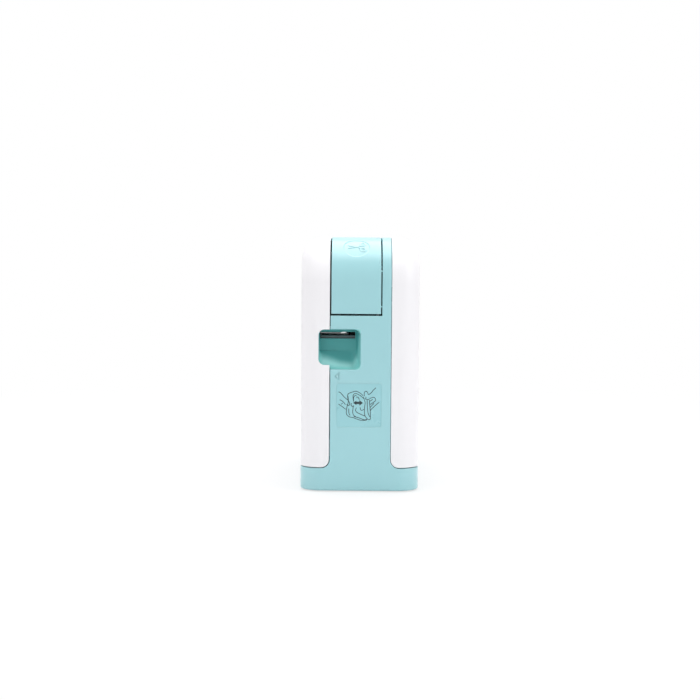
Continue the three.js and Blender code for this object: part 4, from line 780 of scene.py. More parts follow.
def pad_rings():
    """The shallow round recess, its floor bent with the corner and its wall eased."""
    rim, depth = PAD["rim"], PAD["depth"]
    steps = [(rim + 0.2, 1.0), (rim + 0.2, 0.02), (rim, -0.03), (rim * 0.7, -depth * 0.3),
             (rim * 0.3, -depth * 0.75), (0.0, -depth * 0.95), (-rim * 0.5, -depth)]
    radii = [(PAD["radius"] + grow, out) for grow, out in steps]
    radii += [(r, -depth) for r in (4.6, 3.0, 1.4, 0.3)]
    return [[on_pad(r * cos(t), r * sin(t), out) for t in full_turn(64)] for r, out in radii]


def stroked(name, path, width, lift, low, high, closed=False):
    """A raised line along a flat path; lift turns flat coordinates and a height into a place."""
    count = len(path)
    points, faces = [], []
    for k, (u, w) in enumerate(path):
        before = path[k - 1] if k or closed else path[k]
        after = path[(k + 1) % count] if k < count - 1 or closed else path[k]
        along = Vector((after[0] - before[0], after[1] - before[1])).normalized() * width / 2
        left, right = (u - along.y, w + along.x), (u + along.y, w - along.x)
        points += [lift(*left, low), lift(*right, low), lift(*right, high), lift(*left, high)]
    for k in range(count if closed else count - 1):
        nearer, farther = 4 * k, 4 * ((k + 1) % count)
        faces += [[nearer + s, nearer + (s + 1) % 4, farther + (s + 1) % 4, farther + s]
                  for s in range(4)]
    if not closed:
        faces += [[3, 2, 1, 0], [4 * count - 4 + s for s in range(4)]]
    return turned_out(name, points, faces)


def loop(u, w, radius):
    return [(u + radius * cos(t), w + radius * sin(t)) for t in full_turn(28)]


# The raised scissors: two finger loops, and two blades that cross at the pivot.
SCISSORS = {"line": 0.55, "proud": 0.24, "loops": [(3.1, 2.5), (3.1, -1.7)], "loop": 1.25,
            "blades": [[(2.2, -0.85), (0.3, 0.35), (-4.4, 1.75)],
                       [(2.2, 1.65), (0.3, 0.35), (-4.4, -0.75)]]}
cutter_key = combined(cutter_key, "DIFFERENCE", lofted("thumb_mark", pad_rings()))
relief = (on_pad, -PAD["depth"] - 0.3, SCISSORS["proud"] - PAD["depth"])
cutter_key = combined(
    cutter_key, "UNION",
    *[stroked("finger_loop", loop(*centre, SCISSORS["loop"]), SCISSORS["line"], *relief,
              closed=True)
      for centre in SCISSORS["loops"]],
    *[stroked("blade", path, SCISSORS["line"], *relief) for path in SCISSORS["blades"]])
for height, inner, outer in ((93.6, SIDE - 2.4, side_x(0) - 0.25), (111.4, SIDE - 4.4, SIDE - 1.1)):
    nib = rounded(KEY["back"] - 0.4, KEY["back"] + 0.55, height - 0.35, height + 0.35, [0.2] * 4, 3)
    cutter_key = combined(cutter_key, "UNION", slab("nib", nib, inner, outer))
smooth(cutter_key)
fitted(cutter_key, "cutter_key_moulding", "mint", mint_abs, "cutter_key", body="cutter_key")

# ---- Guide sticker -------------------------------------------------------------------------
# A die-cut square of clear polyester film in a shallow pocket, with a line drawing printed in
# dark ink: two hands pull the front cover off the case, and a bold arrow shows the way.

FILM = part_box("guide_sticker")
FILM_BACK, FILM_FACE = FILM[0].x / MM, FILM[1].x / MM
FILM_CORNER = 1.0
INK_FACE = FILM_FACE + 0.012
DRAWING = {"y": (STICKER[0] + STICKER[1]) / 2, "z": (STICKER[2] + STICKER[3]) / 2, "line": 0.34}


def film_ring(inset, x):
    y0, y1, z0, z1 = STICKER
    shape = rounded(y0 + inset, y1 - inset, z0 + inset, z1 - inset, [FILM_CORNER - inset] * 4)
    return [(x, y, z) for y, z in shape]


film = lofted("guide_film", [film_ring(0, FILM_BACK), film_ring(0, FILM_FACE - 0.03),
                             film_ring(0.04, FILM_FACE)])


def grained(name, pits, patches, dark, light, rough, bump, wear_and_highlight=None, breaks=320.0, **sockets):
    """A material whose colour and gloss drift in patches over a fine grain. rough is from and to,
    bump is a strength and a depth, and worn is the colour of its rubbed edges."""
    finish, tree, shader = shaded(name, **sockets)
    grain = placed_group(tree, mould_grain, Pits_per_metre=pits, Patches_per_metre=patches)
    colour = blended(tree, grain["Patch"], dark, light)
    if wear_and_highlight:
        edge = placed_group(tree, handled_edge, Breaks_per_metre=breaks)
        colour = blended(tree, edge["Mask"], colour, wear_and_highlight)
    into(tree, shader, Base_Color=colour, Roughness=between(tree, grain["Patch"], *rough),
         Normal=bumped(tree, grain["Height"], *bump))
    return finish


clear_film = grained("clear_film", 700.0, 90.0, (0.292, 0.582, 0.628), (0.312, 0.604, 0.648),
                     (0.22, 0.34), (0.3, 0.000006), Specular_IOR_Level=0.6)
fitted(smooth(film), "guide_film", "film", clear_film, "guide_sticker")


def on_film(u, w, x):
    return (x, DRAWING["y"] + u, DRAWING["z"] + w)


def eased(path, steps=4):
    """The path with its corners drawn as a draughtsman's curve."""
    points = []
    ends = [path[0]] + list(path) + [path[-1]]
    for a, b, c, d in zip(ends, ends[1:], ends[2:], ends[3:]):
        for k in range(steps):
            t = k / steps
            points.append(tuple(
                0.5 * (2 * q + (r - p) * t + (2 * p - 5 * q + 4 * r - s) * t ** 2
                       + (3 * q - p - 3 * r + s) * t ** 3) for p, q, r, s in zip(a, b, c, d)))
    return points + [path[-1]]


CURVES = [
    # the case: its back edge, its open front edge and what is inside
    [(-5.5, 3.0), (-5.7, 5.2), (-4.8, 6.2), (-2.0, 7.1), (-0.9, 7.0), (0.6, 6.2), (2.0, 5.0)],
    [(-5.5, 4.6), (-5.4, 1.6), (-6.1, -1.0), (-6.3, -4.0), (-5.5, -5.3), (-4.4, -5.9),
     (-2.9, -6.1)],
    [(-2.7, 1.9), (-3.0, 4.6), (-2.4, 5.8), (-1.2, 5.9), (0.6, 5.0), (2.2, 3.8)],
    [(-2.7, 1.9), (-2.7, 3.9), (-2.0, 5.0), (-1.2, 5.0)],
    [(-2.8, 0.0), (-3.0, -1.7), (-3.1, -3.6), (-2.6, -5.0), (-1.6, -5.6)],
    [(-5.1, -1.6), (-5.0, -4.0), (-4.4, -5.0)],
    [(-3.7, 1.1), (-4.0, 0.3), (-3.5, -0.4), (-2.6, -0.5)],
    [(-1.5, 4.2), (-0.4, 4.1), (0.2, 2.9)],
    [(-1.2, -1.1), (-1.7, -2.4), (-1.1, -3.4), (0.6, -4.3), (3.0, -5.3)],
    [(-2.6, -5.6), (0.2, -6.3), (2.6, -7.2), (4.0, -7.0)],
    [(-3.2, -6.0), (-0.6, -7.0), (1.2, -7.5), (3.6, -7.4), (4.3, -6.9)],
    [(0.6, -0.9), (0.9, -2.2), (1.7, -2.4), (2.5, -1.9)],
    # the cover, drawn off to the right
    [(2.7, 2.7), (3.1, 1.4), (2.8, -1.4), (2.9, -4.6), (3.6, -6.0), (4.4, -6.9)],
    [(4.1, 2.8), (4.3, -1.6), (4.8, -4.4), (5.8, -6.0), (5.6, -7.0), (4.6, -7.1)],
    [(5.3, 2.9), (5.4, 0.4), (5.7, -2.4), (5.8, -5.8)],
    [(5.3, 3.5), (6.9, 4.1), (7.8, 4.0), (8.4, 2.8), (7.9, 2.1), (5.7, 0.5)],
    [(5.6, 2.2), (6.9, 3.2)], [(5.7, -0.9), (7.6, 1.2)],
    # the left hand: back of the hand, thumb, and the fingers behind
    [(-10.3, 6.7), (-9.4, 6.4), (-7.2, 4.0), (-5.5, 2.6), (-4.7, 1.3), (-4.8, 0.2), (-5.6, -0.1),
     (-6.1, 0.6)],
    [(-9.7, 2.8), (-8.6, 2.3), (-7.4, 1.2), (-6.8, 0.3)],
    [(-10.3, 0.6), (-8.6, -0.5), (-6.6, -2.0)], [(-8.9, 0.5), (-8.2, 1.2)],
    # the right hand: a finger over the cover's top edge and the palm below
    [(8.5, 9.0), (7.2, 7.8), (6.0, 6.3), (4.7, 5.6), (4.3, 6.6), (3.6, 7.2), (2.8, 6.8), (2.6, 5.7),
     (2.7, 4.7)],
    [(2.4, 4.5), (2.2, 3.8), (2.8, 3.2), (3.5, 3.6), (3.4, 4.4)],
    [(3.5, 3.2), (4.4, 3.0), (5.2, 3.2)], [(10.2, 1.7), (8.4, 0.2), (6.1, -2.0), (5.9, -2.6)],
]
ARROWS = [(-3.0, 1.3), (-1.3, 2.4), (-1.3, 1.9), (0.2, 1.9), (0.2, 2.7), (2.0, 1.3),
          (0.2, -0.1), (0.2, 0.7), (-1.3, 0.7), (-1.3, 0.2)]
PRINTED = (FILM_FACE - 0.004, INK_FACE)
strokes = [stroked("stroke", eased(path), DRAWING["line"], on_film, *PRINTED) for path in CURVES]
strokes.append(lofted("arrow", [[on_film(u, w, x) for u, w in ARROWS] for x in PRINTED]))


def one_mesh(name, pieces):
    """Puts several objects' meshes into one object."""
    made = bmesh.new()
    for piece in pieces:
        made.from_mesh(piece.data)
        bpy.data.objects.remove(piece)
    mesh = bpy.data.meshes.new(name)
    made.to_mesh(mesh)
    made.free()
    joined = bpy.data.objects.new(name, mesh)
    scene.collection.objects.link(joined)
    return joined


printed_ink, tree, shader = shaded("printed_ink")
ink = placed_group(tree, mould_grain, Pits_per_metre=4200.0, Patches_per_metre=600.0)
into(tree, shader, Roughness=between(tree, ink["Height"], 0.45, 0.65),
     Base_Color=blended(tree, ink["Patch"], (0.012, 0.024, 0.028), (0.035, 0.060, 0.066)))
fitted(one_mesh("guide_drawing", strokes), "guide_drawing", "film", printed_ink)

# ---- Cutter --------------------------------------------------------------------------------
# Behind the outlet's slot: a blade of hardened steel in a plastic carrier that the key pushes
# down, a fixed blade it shears against, a dark lip under the tape, and a return spring.


def box_mm(node):
    low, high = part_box(node)
    return Vector(low) / MM, Vector(high) / MM


def broken_edges(piece, width):
    step = piece.modifiers.new("broken_edges", "BEVEL")
    step.width = width * MM
    step.segments = 2
    step.limit_method = "ANGLE"
    step.angle_limit = radians(34.0)
    return applied(piece)


def refined(node, slot, finish, edge=0.15, body="case"):
    """A CAD node's own form with its edges broken."""
    made = reworked(cad_copy(node), bmesh.ops.dissolve_limit, "verts", "edges",
                    angle_limit=radians(0.8))
    if edge:
        broken_edges(made, edge)
    return fitted(smooth(made), node + "_piece", slot, finish, node, body=body)


def dark_moulding(name, colour=(0.036, 0.047, 0.050), rough=0.48):
    return moulded_plastic(name, colour, rough, pits=2200.0, depth=0.000009, tone=0.10, wear_and_highlight=0.05)


def bare_metal(name, colour, rough, lines_per_metre=(900.0, 900.0, 900.0), dark=0.82):
    """Bare metal with its rolling or grinding lines, counted on each axis."""
    finish, tree, shader = shaded(name, Metallic=1.0)
    where = wired(tree, "TexCoord").outputs["Object"]
    stretch = wired(tree, "Mapping", [("Vector", where)], Scale=lines_per_metre)
    lines = wired(tree, "TexNoise", [("Vector", stretch)], Scale=1.0, Detail=3.0)
    edge = placed_group(tree, handled_edge)["Mask"]
    drift = blended(tree, lines, tuple(c * dark for c in colour), colour)
    into(tree, shader, Roughness=between(tree, lines, rough * 0.75, rough * 1.25),
         Base_Color=blended(tree, edge, drift, tuple(min(c * 1.15, 1.0) for c in colour)),
         Normal=bumped(tree, lines, 0.3, 0.000003))
    return finish


dark_abs = dark_moulding("dark_abs")
lip_abs = dark_moulding("lip_abs", (0.042, 0.074, 0.082), 0.42)
bright_steel = bare_metal("bright_steel", (0.62, 0.63, 0.64), 0.26)
ground_steel = bare_metal("ground_steel", (0.66, 0.67, 0.68), 0.20, (250.0, 250.0, 4000.0))

# The moving blade: its lower edge slopes a little, with a rounded nose at the far end. The edge is
# ground bright, with a painted highlight round the nose; the rest of the blade is near black.
BLADE = box_mm("moving_blade")
NEAR_EDGE, FAR_EDGE = 79.56, 79.46
NOSE, BULGE, NOSE_END = -8.2, 0.85, -5.7
BRIGHT = 0.45  # how far up the edge is ground


def blade_outline(inset):
    y0, top = BLADE[0].y + inset, BLADE[1].z - inset
    low = [(y0, NEAR_EDGE + inset), (-12.0, FAR_EDGE + 0.05 + inset), (NOSE, FAR_EDGE + inset)]
    low += [(NOSE + 1.4 * sin(a), FAR_EDGE + inset + BULGE * (1 - cos(a)))
            for a in even(0, pi / 2, 5)[1:]]
    return low + [(NOSE_END - inset, FAR_EDGE + 2.0), (BLADE[1].y - inset, FAR_EDGE + 3.0),
                  (BLADE[1].y - inset, top), (y0, top)]


rings = [[(BLADE[0].x, y, z) for y, z in blade_outline(0.18)]]
rings += [[(BLADE[0].x + 0.45 + 0.25 * sin(a), y, z) for y, z in blade_outline(0.18 * (1 - cos(a)))]
          for a in even(-pi / 2, pi / 2, 6)]
moving_blade = smooth(lofted("moving_blade", rings), 50)
hardened, tree, shader = shaded("hardened_blade", Metallic=1.0)
where = wired(tree, "TexCoord").outputs["Object"]
at = wired(tree, "SeparateXYZ", [(0, where)]).outputs
slope = (NEAR_EDGE - FAR_EDGE) / (NOSE - BLADE[0].y)
level = sums(tree, "MULTIPLY_ADD", at["Y"], slope, at["Z"])
ground_to = (NEAR_EDGE + BRIGHT + slope * BLADE[0].y) * MM
above_edge = ramped(tree, level, ground_to - 0.00008, ground_to + 0.00008)
STRETCH = (1.0, 0.45, 1.3)  # the painted highlight round the nose is longer than it is high
squeezed = wired(tree, "VectorMath", [(0, where)])
squeezed.operation = "MULTIPLY"
squeezed.inputs[1].default_value = STRETCH
from_nose = wired(tree, "VectorMath", [(0, squeezed)])
from_nose.operation = "DISTANCE"
from_nose.inputs[1].default_value = [c * s * MM for c, s in zip((BLADE[1].x, -8.3, 79.7), STRETCH)]
# A mask for the nose, where the blade is painted brighter as a highlight.
wear_and_highlight = ramped(tree, from_nose.outputs["Value"], 0.0007, 0.0009)
bare = sums(tree, "MINIMUM", above_edge, wear_and_highlight)
lines = noise(tree, 1800.0, Detail=3.0)
# The ground edge's colour, with a painted highlight round the nose.
ground = blended(tree, wear_and_highlight, (0.92, 0.93, 0.93), (0.42, 0.45, 0.46))
black = blended(tree, lines, (0.010, 0.011, 0.012), (0.022, 0.024, 0.026))
into(tree, shader, Base_Color=blended(tree, bare, ground, black),
     Roughness=between(tree, bare, 0.16, 0.5),
     Normal=bumped(tree, lines, 0.2, 0.000002))
fitted(moving_blade, "moving_blade_piece", "steel", hardened, "moving_blade", body="blade")

# The fixed blade, its shearing edge ground to a bevel.
(x0, y0, z0), (x1, y1, z1) = box_mm("fixed_blade")
fixed_blade = lofted("fixed_blade", [
    [(x, y0, z0 + 0.1), (x, y1, z0 + 0.1), (x, y1, z1 - drop), (x, y0, z1 - drop)]
    for x, drop in ((x0, 0.0), (x0 + 0.25, 0.05), (x1, 0.8))])
fitted(smooth(fixed_blade, 20), "fixed_blade_piece", "steel", ground_steel, "fixed_blade")

# The lip: a plate with a rounded bar that fills the slot under the tape.
(x0, y0, z0), (x1, y1, z1) = box_mm("cutter_lip")
bar = [(53.3, 77.6), (BACK_WALL - 0.1, 77.6), (BACK_WALL, 77.75), (BACK_WALL, 78.35),
       (BACK_WALL - 0.25, 78.75), (BACK_WALL - 0.8, 78.85), (53.3, 78.7)]
plate = rounded(y0 + 0.1, y1, z0, 78.5, [0.6] * 4, 4)
lip_piece = combined(slab_y("lip_bar", bar, y0, y1), "UNION",
                     slab("lip_plate", plate, x0, x0 + 0.9))
fitted(smooth(lip_piece), "cutter_lip_piece", "dark_plastic", lip_abs, "cutter_lip")

refined("blade_carrier", "dark_plastic", dark_abs, 0.3, body="blade")
refined("cutter_guide", "dark_plastic", dark_abs, 0.2)

# The key's hinge pin, through pairs of y and radius.
pin = [(HINGE.y - 8.4, 0.75), (HINGE.y - 8.2, 1.0), (HINGE.y + 8.2, 1.0), (HINGE.y + 8.4, 0.75)]
pin_rings = [[(HINGE.x + r * cos(t), y, HINGE.z + r * sin(t)) for t in full_turn(40)]
             for y, r in pin]
fitted(smooth(lofted("key_pin", pin_rings)), "key_pin_piece", "steel", bright_steel, "key_pin")


def geometry_tree(name, **sizes):
    """An empty Geometry Nodes tree that grows on points, and its inputs: sizes and a material."""
    group = bpy.data.node_groups.new(name, "GeometryNodeTree")
    add_socket = group.interface.new_socket
    add_socket("Geometry", in_out="INPUT", socket_type="NodeSocketGeometry")
    for size, value in sizes.items():
        kind = "NodeSocketVector" if isinstance(value, tuple) else "NodeSocketFloat"
        add_socket(size.replace("_", " "), in_out="INPUT", socket_type=kind).default_value = value
    add_socket("Material", in_out="INPUT", socket_type="NodeSocketMaterial")
    add_socket("Geometry", in_out="OUTPUT", socket_type="NodeSocketGeometry")
    return group, group.nodes.new("NodeGroupInput").outputs


def on_points(tree, sizes, shape):
    """Stands a shape on each point, realizes it, gives it its material and puts it out."""
    turn = [("Rotation", sizes["Turn"])] if "Turn" in sizes else []
    standing = wired(tree, "InstanceOnPoints", [("Points", sizes[0]), ("Instance", shape)] + turn)
    solid = wired(tree, "RealizeInstances", [(0, standing)])
    dressed = wired(tree, "SetMaterial", [(0, solid), ("Material", sizes["Material"])])
    tree.links.new(dressed.outputs[0], tree.nodes.new("NodeGroupOutput").inputs[0])
    return tree


def grown(name, points, group, finish, **sizes):
    """What a tree grows on points in millimetres, as a plain mesh."""
    seedling = new_object(name, [Vector(p) * MM for p in points], [])
    step = seedling.modifiers.new(name, "NODES")
    step.node_group = group
    for item in group.interface.items_tree:
        value = {**sizes, "Material": finish}.get(item.name.replace(" ", "_"))
        if item.in_out == "INPUT" and value is not None:
            step[item.identifier] = value
    seedling.update_tag()
    return applied(seedling)


def circle(tree, radius, sides):
    return wired(tree, "CurvePrimitiveCircle", [("Radius", radius)], Resolution=sides)


def swept(tree, path, section, caps=True):
    return wired(tree, "CurveToMesh", [("Curve", path), ("Profile Curve", section)], Fill_Caps=caps)


def moved_up(tree, shape, height):
    lift = wired(tree, "CombineXYZ", [("Z", height)])
    return wired(tree, "Transform", [("Geometry", shape), ("Translation", lift)])


# A wound spring: a coil of wire between two flat end turns, standing on each point.
tree, sizes = geometry_tree("wire_spring", Wire_radius=0.0003, Lower_radius=0.002,
                            Upper_radius=0.002, Height=0.01, Turns=5.0, Turn=(0.0, 0.0, 0.0))
wire = circle(tree, sizes["Wire radius"], 10)
coil = wired(tree, "CurveSpiral", [
    ("Rotations", sizes["Turns"]), ("Start Radius", sizes["Lower radius"]),
    ("End Radius", sizes["Upper radius"]), ("Height", sizes["Height"])], Resolution=28)
last = moved_up(tree, circle(tree, sizes["Upper radius"], 32), sizes["Height"])
first = circle(tree, sizes["Lower radius"], 32)
turns = [swept(tree, coil, wire), swept(tree, first, wire, False), swept(tree, last, wire, False)]
wire_spring = on_points(tree, sizes, wired(tree, "JoinGeometry", [(0, part) for part in turns]))


def upright_spring(node, wire, turns):
    """A compression spring, grown in its CAD solid's place."""
    low, high = box_mm(node)
    x, y, r = (low.x + high.x) / 2, (low.y + high.y) / 2, (high.x - low.x) / 2 - wire
    height = high.z - low.z - 2 * wire
    spring = grown(node, [(x, y, low.z + wire)], wire_spring, bright_steel, Wire_radius=wire * MM,
                   Lower_radius=r * MM, Upper_radius=r * MM, Height=height * MM, Turns=turns)
    fitted(smooth(spring, 60), node + "_piece", "steel", bright_steel, node)
    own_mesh(spring)


upright_spring("cutter_spring", 0.3, 5.0)

# ---- Base plate, feet and screws -----------------------------------------------------------
# The mint plate that closes the foot from below, on four rubber feet, held by two self-tapping
# screws. Four more screws hold the back shell, and two hold the gear plate. The feet and all
# the screws are grown by Geometry Nodes, one tree for each kind.

refined("base_plate", "mint", mint_abs, 0.3)
moulded_rubber = grained("moulded_rubber", 1500.0, 220.0, (0.016, 0.017, 0.018),
                         (0.034, 0.035, 0.037), (0.68, 0.9), (0.5, 0.00002),
                         wear_and_highlight=(0.10, 0.10, 0.105), breaks=700.0)


def rod(tree, radius, depth, sides):
    """A round body: its mesh, the selection of its top and that of its bottom."""
    body = wired(tree, "MeshCylinder", [("Radius", radius), ("Depth", depth)], Vertices=sides)
    return body.outputs["Mesh"], body.outputs["Top"], body.outputs["Bottom"]


def drawn_out(tree, mesh, end, size, steps):
    """Draws the end face of a round body further out. Each step is a length, as a share of size,
    and the scale of its end."""
    for length, scale in steps:
        offset = times(tree, size, length)
        pulled = wired(tree, "ExtrudeMesh",
                       [("Mesh", mesh), ("Selection", end), ("Offset Scale", offset)],
                       Individual=False)
        end = pulled.outputs["Top"]
        mesh = wired(tree, "ScaleElements", [(0, pulled), ("Selection", end)], Scale=scale)
    return mesh


# A foot: a flat pad with rolled edges and a shallow hollow underneath.
tree, sizes = geometry_tree("rubber_foot", Radius=0.0045, Thickness=0.0011)
thick = sizes["Thickness"]
pad, top, bottom = rod(tree, sizes["Radius"], times(tree, thick, 0.6), 48)
pad = drawn_out(tree, pad, top, thick, [(0.2, 0.96)])
pad = drawn_out(tree, pad, bottom, thick, [(0.14, 0.97), (0.06, 0.94), (0.0, 0.76), (-0.12, 0.9)])
rubber_foot = on_points(tree, sizes, pad)

FEET = [f"rubber_foot_{k}" for k in (1, 2, 3, 4)]
low, high = box_mm(FEET[0])
feet = grown("rubber_feet", [(box_mm(foot)[0] + box_mm(foot)[1]) / 2 for foot in FEET], rubber_foot,
             moulded_rubber, Radius=(high.x - low.x) / 2 * MM, Thickness=(high.z - low.z) * MM)
fitted(smooth(feet, 40), "rubber_feet", "rubber", moulded_rubber, *FEET)

# A self-tapping screw: a domed head with a cross recess, a shank with a point, and its thread.
tree, sizes = geometry_tree("tapping_screw", Head_radius=0.0026, Head_height=0.0013,
                            Shank_radius=0.001, Length=0.015, Pitch=0.001, Turn=(0.0, 0.0, 0.0))
wide, tall, long = sizes["Head radius"], sizes["Head height"], sizes["Length"]
shank = sizes["Shank radius"]
head, top, bottom = rod(tree, wide, times(tree, tall, 0.5), 40)
head = drawn_out(tree, head, top, tall, [(0.22, 0.95), (0.16, 0.86), (0.12, 0.62)])
crossed = wired(tree, "MeshBoolean", [(0, moved_up(tree, head, times(tree, tall, 0.25)))])
crossed.operation = "DIFFERENCE"
for x, y in ((1.1, 0.3), (0.3, 1.1)):
    size = wired(tree, "CombineXYZ", [("X", times(tree, wide, x)), ("Y", times(tree, wide, y)),
                                      ("Z", times(tree, tall, 1.1))])
    wing = moved_up(tree, wired(tree, "MeshCube", [("Size", size)]), tall)
    tree.links.new(wing.outputs[0], crossed.inputs[1])
point, top, bottom = rod(tree, times(tree, shank, 0.84), times(tree, long, 0.88), 20)
point = moved_up(tree, drawn_out(tree, point, bottom, long, [(0.12, 0.12)]),
                 times(tree, long, -0.44))
threaded = times(tree, long, 0.86)
helix = wired(tree, "CurveSpiral", [
    ("Rotations", sums(tree, "DIVIDE", threaded, sizes["Pitch"])), ("Height", threaded),
    ("Start Radius", times(tree, shank, 0.5)), ("End Radius", times(tree, shank, 0.82))],
    Resolution=14)
thread = moved_up(tree, swept(tree, helix, circle(tree, times(tree, shank, 0.2), 3)),
                  times(tree, long, -0.95))
tapping_screw = on_points(tree, sizes,
                          wired(tree, "JoinGeometry", [(0, crossed), (0, point), (0, thread)]))

zinc_steel = bare_metal("zinc_steel", (0.55, 0.56, 0.57), 0.34, (600.0, 600.0, 600.0), dark=0.7)


def screws(kind, count, height, axis, turn, head_high=False):
    """Grows one kind of screw in its CAD solids' places, head at the low end of the axis or at
    the high one."""
    nodes = [f"{kind}_{k + 1}" for k in range(count)]
    seats = []
    for low, high in map(box_mm, nodes):
        seat = (low + high) / 2
        seat[axis] = high[axis] - height if head_high else low[axis] + height
        seats.append(seat)
    low, high = box_mm(nodes[0])
    across = (axis + 1) % 3
    made = grown(kind + "s", seats, tapping_screw, zinc_steel, Head_height=height * MM,
                 Head_radius=(high[across] - low[across]) / 2 * MM, Shank_radius=0.001,
                 Length=(high[axis] - low[axis] - height) * MM, Pitch=0.00095, Turn=turn)
    fitted(smooth(made, 40), kind + "s", "steel", zinc_steel, *nodes)


screws("case_screw", 4, 1.3, 1, (pi / 2, 0.0, 0.0))
screws("plate_screw", 2, 1.3, 1, (-pi / 2, 0.0, 0.0), head_high=True)
screws("base_screw", 2, 0.8, 2, (pi, 0.0, 0.0))

# ---- Mechanism wall and battery bay --------------------------------------------------------
# Two dark ABS mouldings inside the frame: the upright wall that everything is fixed to, with
# its bosses and rails, and the tray for the six cells. Sprung strips and coned wire springs of
# plated steel touch the cells' ends.

inner_abs = dark_moulding("inner_abs", (0.044, 0.054, 0.058), 0.5)
refined("mechanism_wall", "dark_plastic", inner_abs, 0.0)
refined("battery_bay", "dark_plastic", inner_abs, 0.0)

CELLS = [f"battery_cell_{k}" for k in range(1, 7)]
CELL = {"length": 44.5, "radius": 5.25}
CONTACT = {"room": 4.0, "wide": 7.4, "thick": 0.3}
plated_steel = bare_metal("plated_steel", (0.70, 0.69, 0.66), 0.22)


def plus_side(index):
    """+1 where the cell's plus end points to +X; the rows alternate."""
    side = 1 if index % 2 else -1
    return side if (index // 2) % 2 else -side


def across_y(u, w, out):
    return u, out, w


springs = {1: [], -1: []}
strips = []
for index, node in enumerate(CELLS):
    low, high = box_mm(node)
    y, z = (low.y + high.y) / 2, (low.z + high.z) / 2
    plus = plus_side(index)
    minus_end, plus_end = (low.x, high.x) if plus > 0 else (high.x, low.x)
    springs[plus].append((minus_end - plus * (CONTACT["room"] - 0.4), y, z))
    wall, tip = plus_end + plus * (CONTACT["room"] - 0.2), plus_end + plus * 0.2
    flank = [(wall, 4.4), (wall, 2.9), (tip + plus * 1.2, 1.5)]
    arch = [(x, z - w) for x, w in flank] + [(tip, z)] + [(x, z + w) for x, w in flank[::-1]]
    strips.append(stroked("strip", eased(arch), CONTACT["thick"], across_y, y - CONTACT["wide"] / 2,
                          y + CONTACT["wide"] / 2))
    wall = minus_end - plus * (CONTACT["room"] - 0.2)
    strips.append(slab("plate", rounded(y - 4.0, y + 4.0, z - 4.4, z + 4.4, [0.8] * 4, 4),
                       wall - CONTACT["thick"] / 2, wall + CONTACT["thick"] / 2))
fitted(smooth(one_mesh("contact_strips", strips)), "contact_strips", "steel", plated_steel)
for plus, hand in ((1, "right"), (-1, "left")):
    spring = grown("cell_springs", springs[plus], wire_spring, plated_steel, Wire_radius=0.00028,
                   Lower_radius=0.0035, Upper_radius=0.0016, Height=(CONTACT["room"] - 0.7) * MM,
                   Turns=3.5, Turn=(0.0, plus * pi / 2, 0.0))
    fitted(smooth(spring, 60), "cell_springs_" + hand, "steel", plated_steel)

# ---- Cells ---------------------------------------------------------------------------------
# Six AAA alkaline cells: a plated steel can in a shrunk printed sleeve, plain apart from the
# pale band that marks the plus end.

RIM = 0.42


def turned(name, profiles, axis, sides=40, closed=False):
    """Turned bodies in one mesh. Each has a centre and pairs of height along the axis and radius;
    a closed profile is a ring's whole section."""
    points, faces = [], []
    for centre, profile in profiles:
        first, count = len(points), len(profile)
        for h, r in profile:
            for k in range(sides):
                u, w = r * cos(2 * pi * k / sides), r * sin(2 * pi * k / sides)
                offset = {"X": (h, u, w), "Y": (u, h, w), "Z": (u, w, h)}[axis]
                points.append(Vector(centre) + Vector(offset))
        for p in range(count if closed else count - 1):
            here, after = first + p * sides, first + (p + 1) % count * sides
            for k in range(sides):
                turn = (k + 1) % sides
                faces.append([here + k, here + turn, after + turn, after + k])
        if not closed:
            last = first + (count - 1) * sides
            faces += [list(range(first, first + sides))[::-1], list(range(last, last + sides))]
    return turned_out(name, points, faces)


sleeves, cans = [], []
half, r = CELL["length"] / 2, CELL["radius"]
sleeve = [(-half + 0.15, 3.9), (-half + 0.15, r - RIM), (-half + 0.35, r - 0.12), (-half + 0.7, r),
          (half - 1.9, r), (half - 1.55, r - 0.12), (half - 1.3, r - RIM), (half - 1.25, 3.9)]
can = [(-half, 2.7), (-half, 3.4), (-half + 0.3, 4.2), (-half + 0.3, r - 0.25),
       (half - 1.35, r - 0.25), (half - 1.35, 2.3), (half - 1.0, 1.95), (half - 0.2, 1.9),
       (half, 1.65)]
for index, node in enumerate(CELLS):
    low, high = box_mm(node)
    for made, profile in ((sleeves, sleeve), (cans, can)):
        made.append(((low + high) / 2, [(plus_side(index) * h, radius) for h, radius in profile]))
fitted(smooth(turned("cell_cans", cans, "X", 44)), "cell_cans", "steel", plated_steel)
sleeve_piece = smooth(turned("cell_sleeves", sleeves, "X", 44))
along = sleeve_piece.data.attributes.new("along", "FLOAT", "POINT").data  # a share of the length
per_sleeve = len(along) // len(CELLS)
for index, node in enumerate(CELLS):
    low, high = box_mm(node)
    for k in range(index * per_sleeve, (index + 1) * per_sleeve):
        share = (sleeve_piece.data.vertices[k].co.x / MM - low.x) / (high.x - low.x)
        along[k].value = share if plus_side(index) > 0 else 1 - share
printed_sleeve, tree, shader = shaded("printed_sleeve", Metallic=0.1)
shrink = placed_group(tree, mould_grain, Pits_per_metre=900.0, Patches_per_metre=40.0)
rubbed = placed_group(tree, handled_edge, From=0.54, To=0.7, Breaks_per_metre=500.0)["Mask"]
reading = wired(tree, "Attribute")
reading.attribute_name = "along"
share = reading.outputs["Fac"]
band = ramped(tree, share, 0.74, 0.743)
from_line = sums(tree, "ABSOLUTE", sums(tree, "SUBTRACT", share, 0.715))
line = ramped(tree, from_line, 0.006, 0.008, 1.0, 0.0)
body = blended(tree, shrink["Patch"], (0.032, 0.044, 0.052), (0.037, 0.050, 0.059))
pale = blended(tree, shrink["Patch"], (0.52, 0.54, 0.53), (0.60, 0.62, 0.61))
marked = blended(tree, sums(tree, "MAXIMUM", band, line), body, pale)
